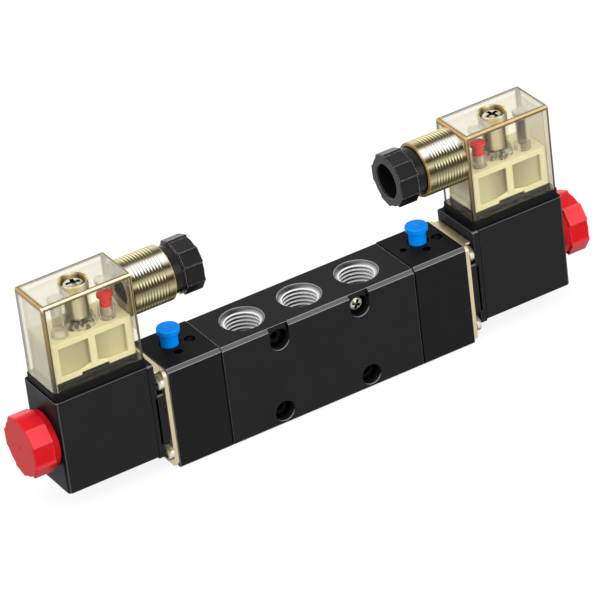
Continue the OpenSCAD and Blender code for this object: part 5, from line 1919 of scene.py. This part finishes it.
def dress(node: str, finish: Finish, side: Side | None = None) -> None:
    """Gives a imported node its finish.

    Args:
        node: The node's name, without its end's.
        finish: Its surface.
        side: The end it belongs to.
    """
    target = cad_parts[f"{side.value}_{node}" if side else node]
    if not target.data.materials:
        target.data.materials.append(finish.material())
    for place in range(len(target.material_slots)):
        target.material_slots[place].material = finish.material()


@dataclass(frozen=True)
class Lamp:
    """A soft square lamp: its name, its place in metres, its side and its power in watts."""

    name: str
    place: Place
    size: float
    power: float


@dataclass
class Studio:
    """Camera, lamps, floor and world."""

    eye: Place = (-603.45, -1142.37, 806.38)
    right: Place = (0.84695, -0.52058, -0.10804)
    up: Place = (0.34931, 0.39165, 0.85123)
    lens: float = 290.23
    ambient: float = 1.08
    floor_drop: float = 0.0002
    floor_matt: Colour = (0.18, 0.18, 0.18)
    floor_glow: float = 0.85
    aim: Place = (0.0, 0.0, 0.03)
    lamps: tuple[Lamp, ...] = (
        Lamp("top_softbox", (0.1, 0.1, 1.3), 1.6, 4.5),
        Lamp("left_softbox", (-1.2, -0.5, 0.9), 1.0, 2.6),
        Lamp("front_softbox", (0.5, -1.5, 0.6), 1.0, 10.0),
    )

    def build(self) -> None:
        """Sets up the studio."""
        self.camera()
        self.world()
        self.floor()
        for lamp in self.lamps:
            self.hang(lamp)
        bpy.context.scene.view_settings.view_transform = "Standard"

    def camera(self) -> None:
        """Places the camera of the photograph."""
        data = bpy.data.cameras.new("photo_camera")
        data.lens = self.lens
        data.sensor_width = 36.0
        data.clip_end = 20.0
        made = bpy.data.objects.new("photo_camera", data)
        right, up = Vector(self.right).normalized(), Vector(self.up).normalized()
        back = right.cross(up)
        turn = Matrix((right, up, back)).transposed().to_4x4()
        made.matrix_world = Matrix.Translation(Vector(self.eye) * MM) @ turn
        bpy.context.scene.collection.objects.link(made)
        bpy.context.scene.camera = made

    def world(self) -> None:
        """Lights softly from all round and shows white behind the object."""
        world = bpy.data.worlds.new("studio")
        bpy.context.scene.world = world
        graph = Graph(world)
        seen = self.seen(graph)
        strength = self.ambient + seen * (1.0 - self.ambient)
        light = graph.node("ShaderNodeBackground", inputs={"Color": WHITE, "Strength": strength})
        graph.node("ShaderNodeOutputWorld", inputs={"Surface": light.outputs[0]})

    def seen(self, graph: Graph) -> Number:
        """Gives 1 for rays that look at the background."""
        rays = graph.node("ShaderNodeLightPath")
        names = ("Is Camera Ray", "Is Glossy Ray", "Is Transmission Ray")
        camera, glossy, through = (graph.number(rays, name) for name in names)
        return (camera + glossy + through).clamped()

    def floor(self) -> None:
        """Lays a pale floor that keeps a soft shadow."""
        shape = bmesh.new()
        bmesh.ops.create_grid(shape, x_segments=1, y_segments=1, size=4.0)
        data = bpy.data.meshes.new("studio_floor")
        shape.to_mesh(data)
        shape.free()
        made = bpy.data.objects.new("studio_floor", data)
        made.location.z = -self.floor_drop
        material = bpy.data.materials.new("studio_floor_finish")
        graph = Graph(material)
        matt = graph.node("ShaderNodeBsdfDiffuse", inputs={"Color": self.floor_matt})
        strength = self.seen(graph) * self.floor_glow
        glow = graph.node("ShaderNodeEmission", inputs={"Color": WHITE, "Strength": strength})
        both = graph.node("ShaderNodeAddShader", inputs={0: matt.outputs[0], 1: glow.outputs[0]})
        graph.node("ShaderNodeOutputMaterial", inputs={"Surface": both.outputs[0]})
        data.materials.append(material)
        bpy.context.scene.collection.objects.link(made)

    def hang(self, lamp: Lamp) -> None:
        """Hangs one lamp and points it at the valve.

        Args:
            lamp: The lamp.
        """
        data = bpy.data.lights.new(lamp.name, "AREA")
        data.energy = lamp.power
        data.size = lamp.size
        made = bpy.data.objects.new(lamp.name, data)
        made.location = lamp.place
        way = Vector(self.aim) - Vector(lamp.place)
        made.rotation_euler = way.to_track_quat("-Z", "Y").to_euler()
        bpy.context.scene.collection.objects.link(made)


def main() -> None:
    """Builds the valve from the middle outwards, then the studio."""
    logging.basicConfig(level=logging.INFO, format="%(name)s: %(message)s")
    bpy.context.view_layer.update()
    SpoolBody().build()
    for side in Side:
        for part in (PilotEnd(side), Coil(side), Connector(side)):
            log.info("building %s %s", side.value, type(part).__name__)
            part.build()
    Studio().build()


if __name__ == "__main__":
    main()
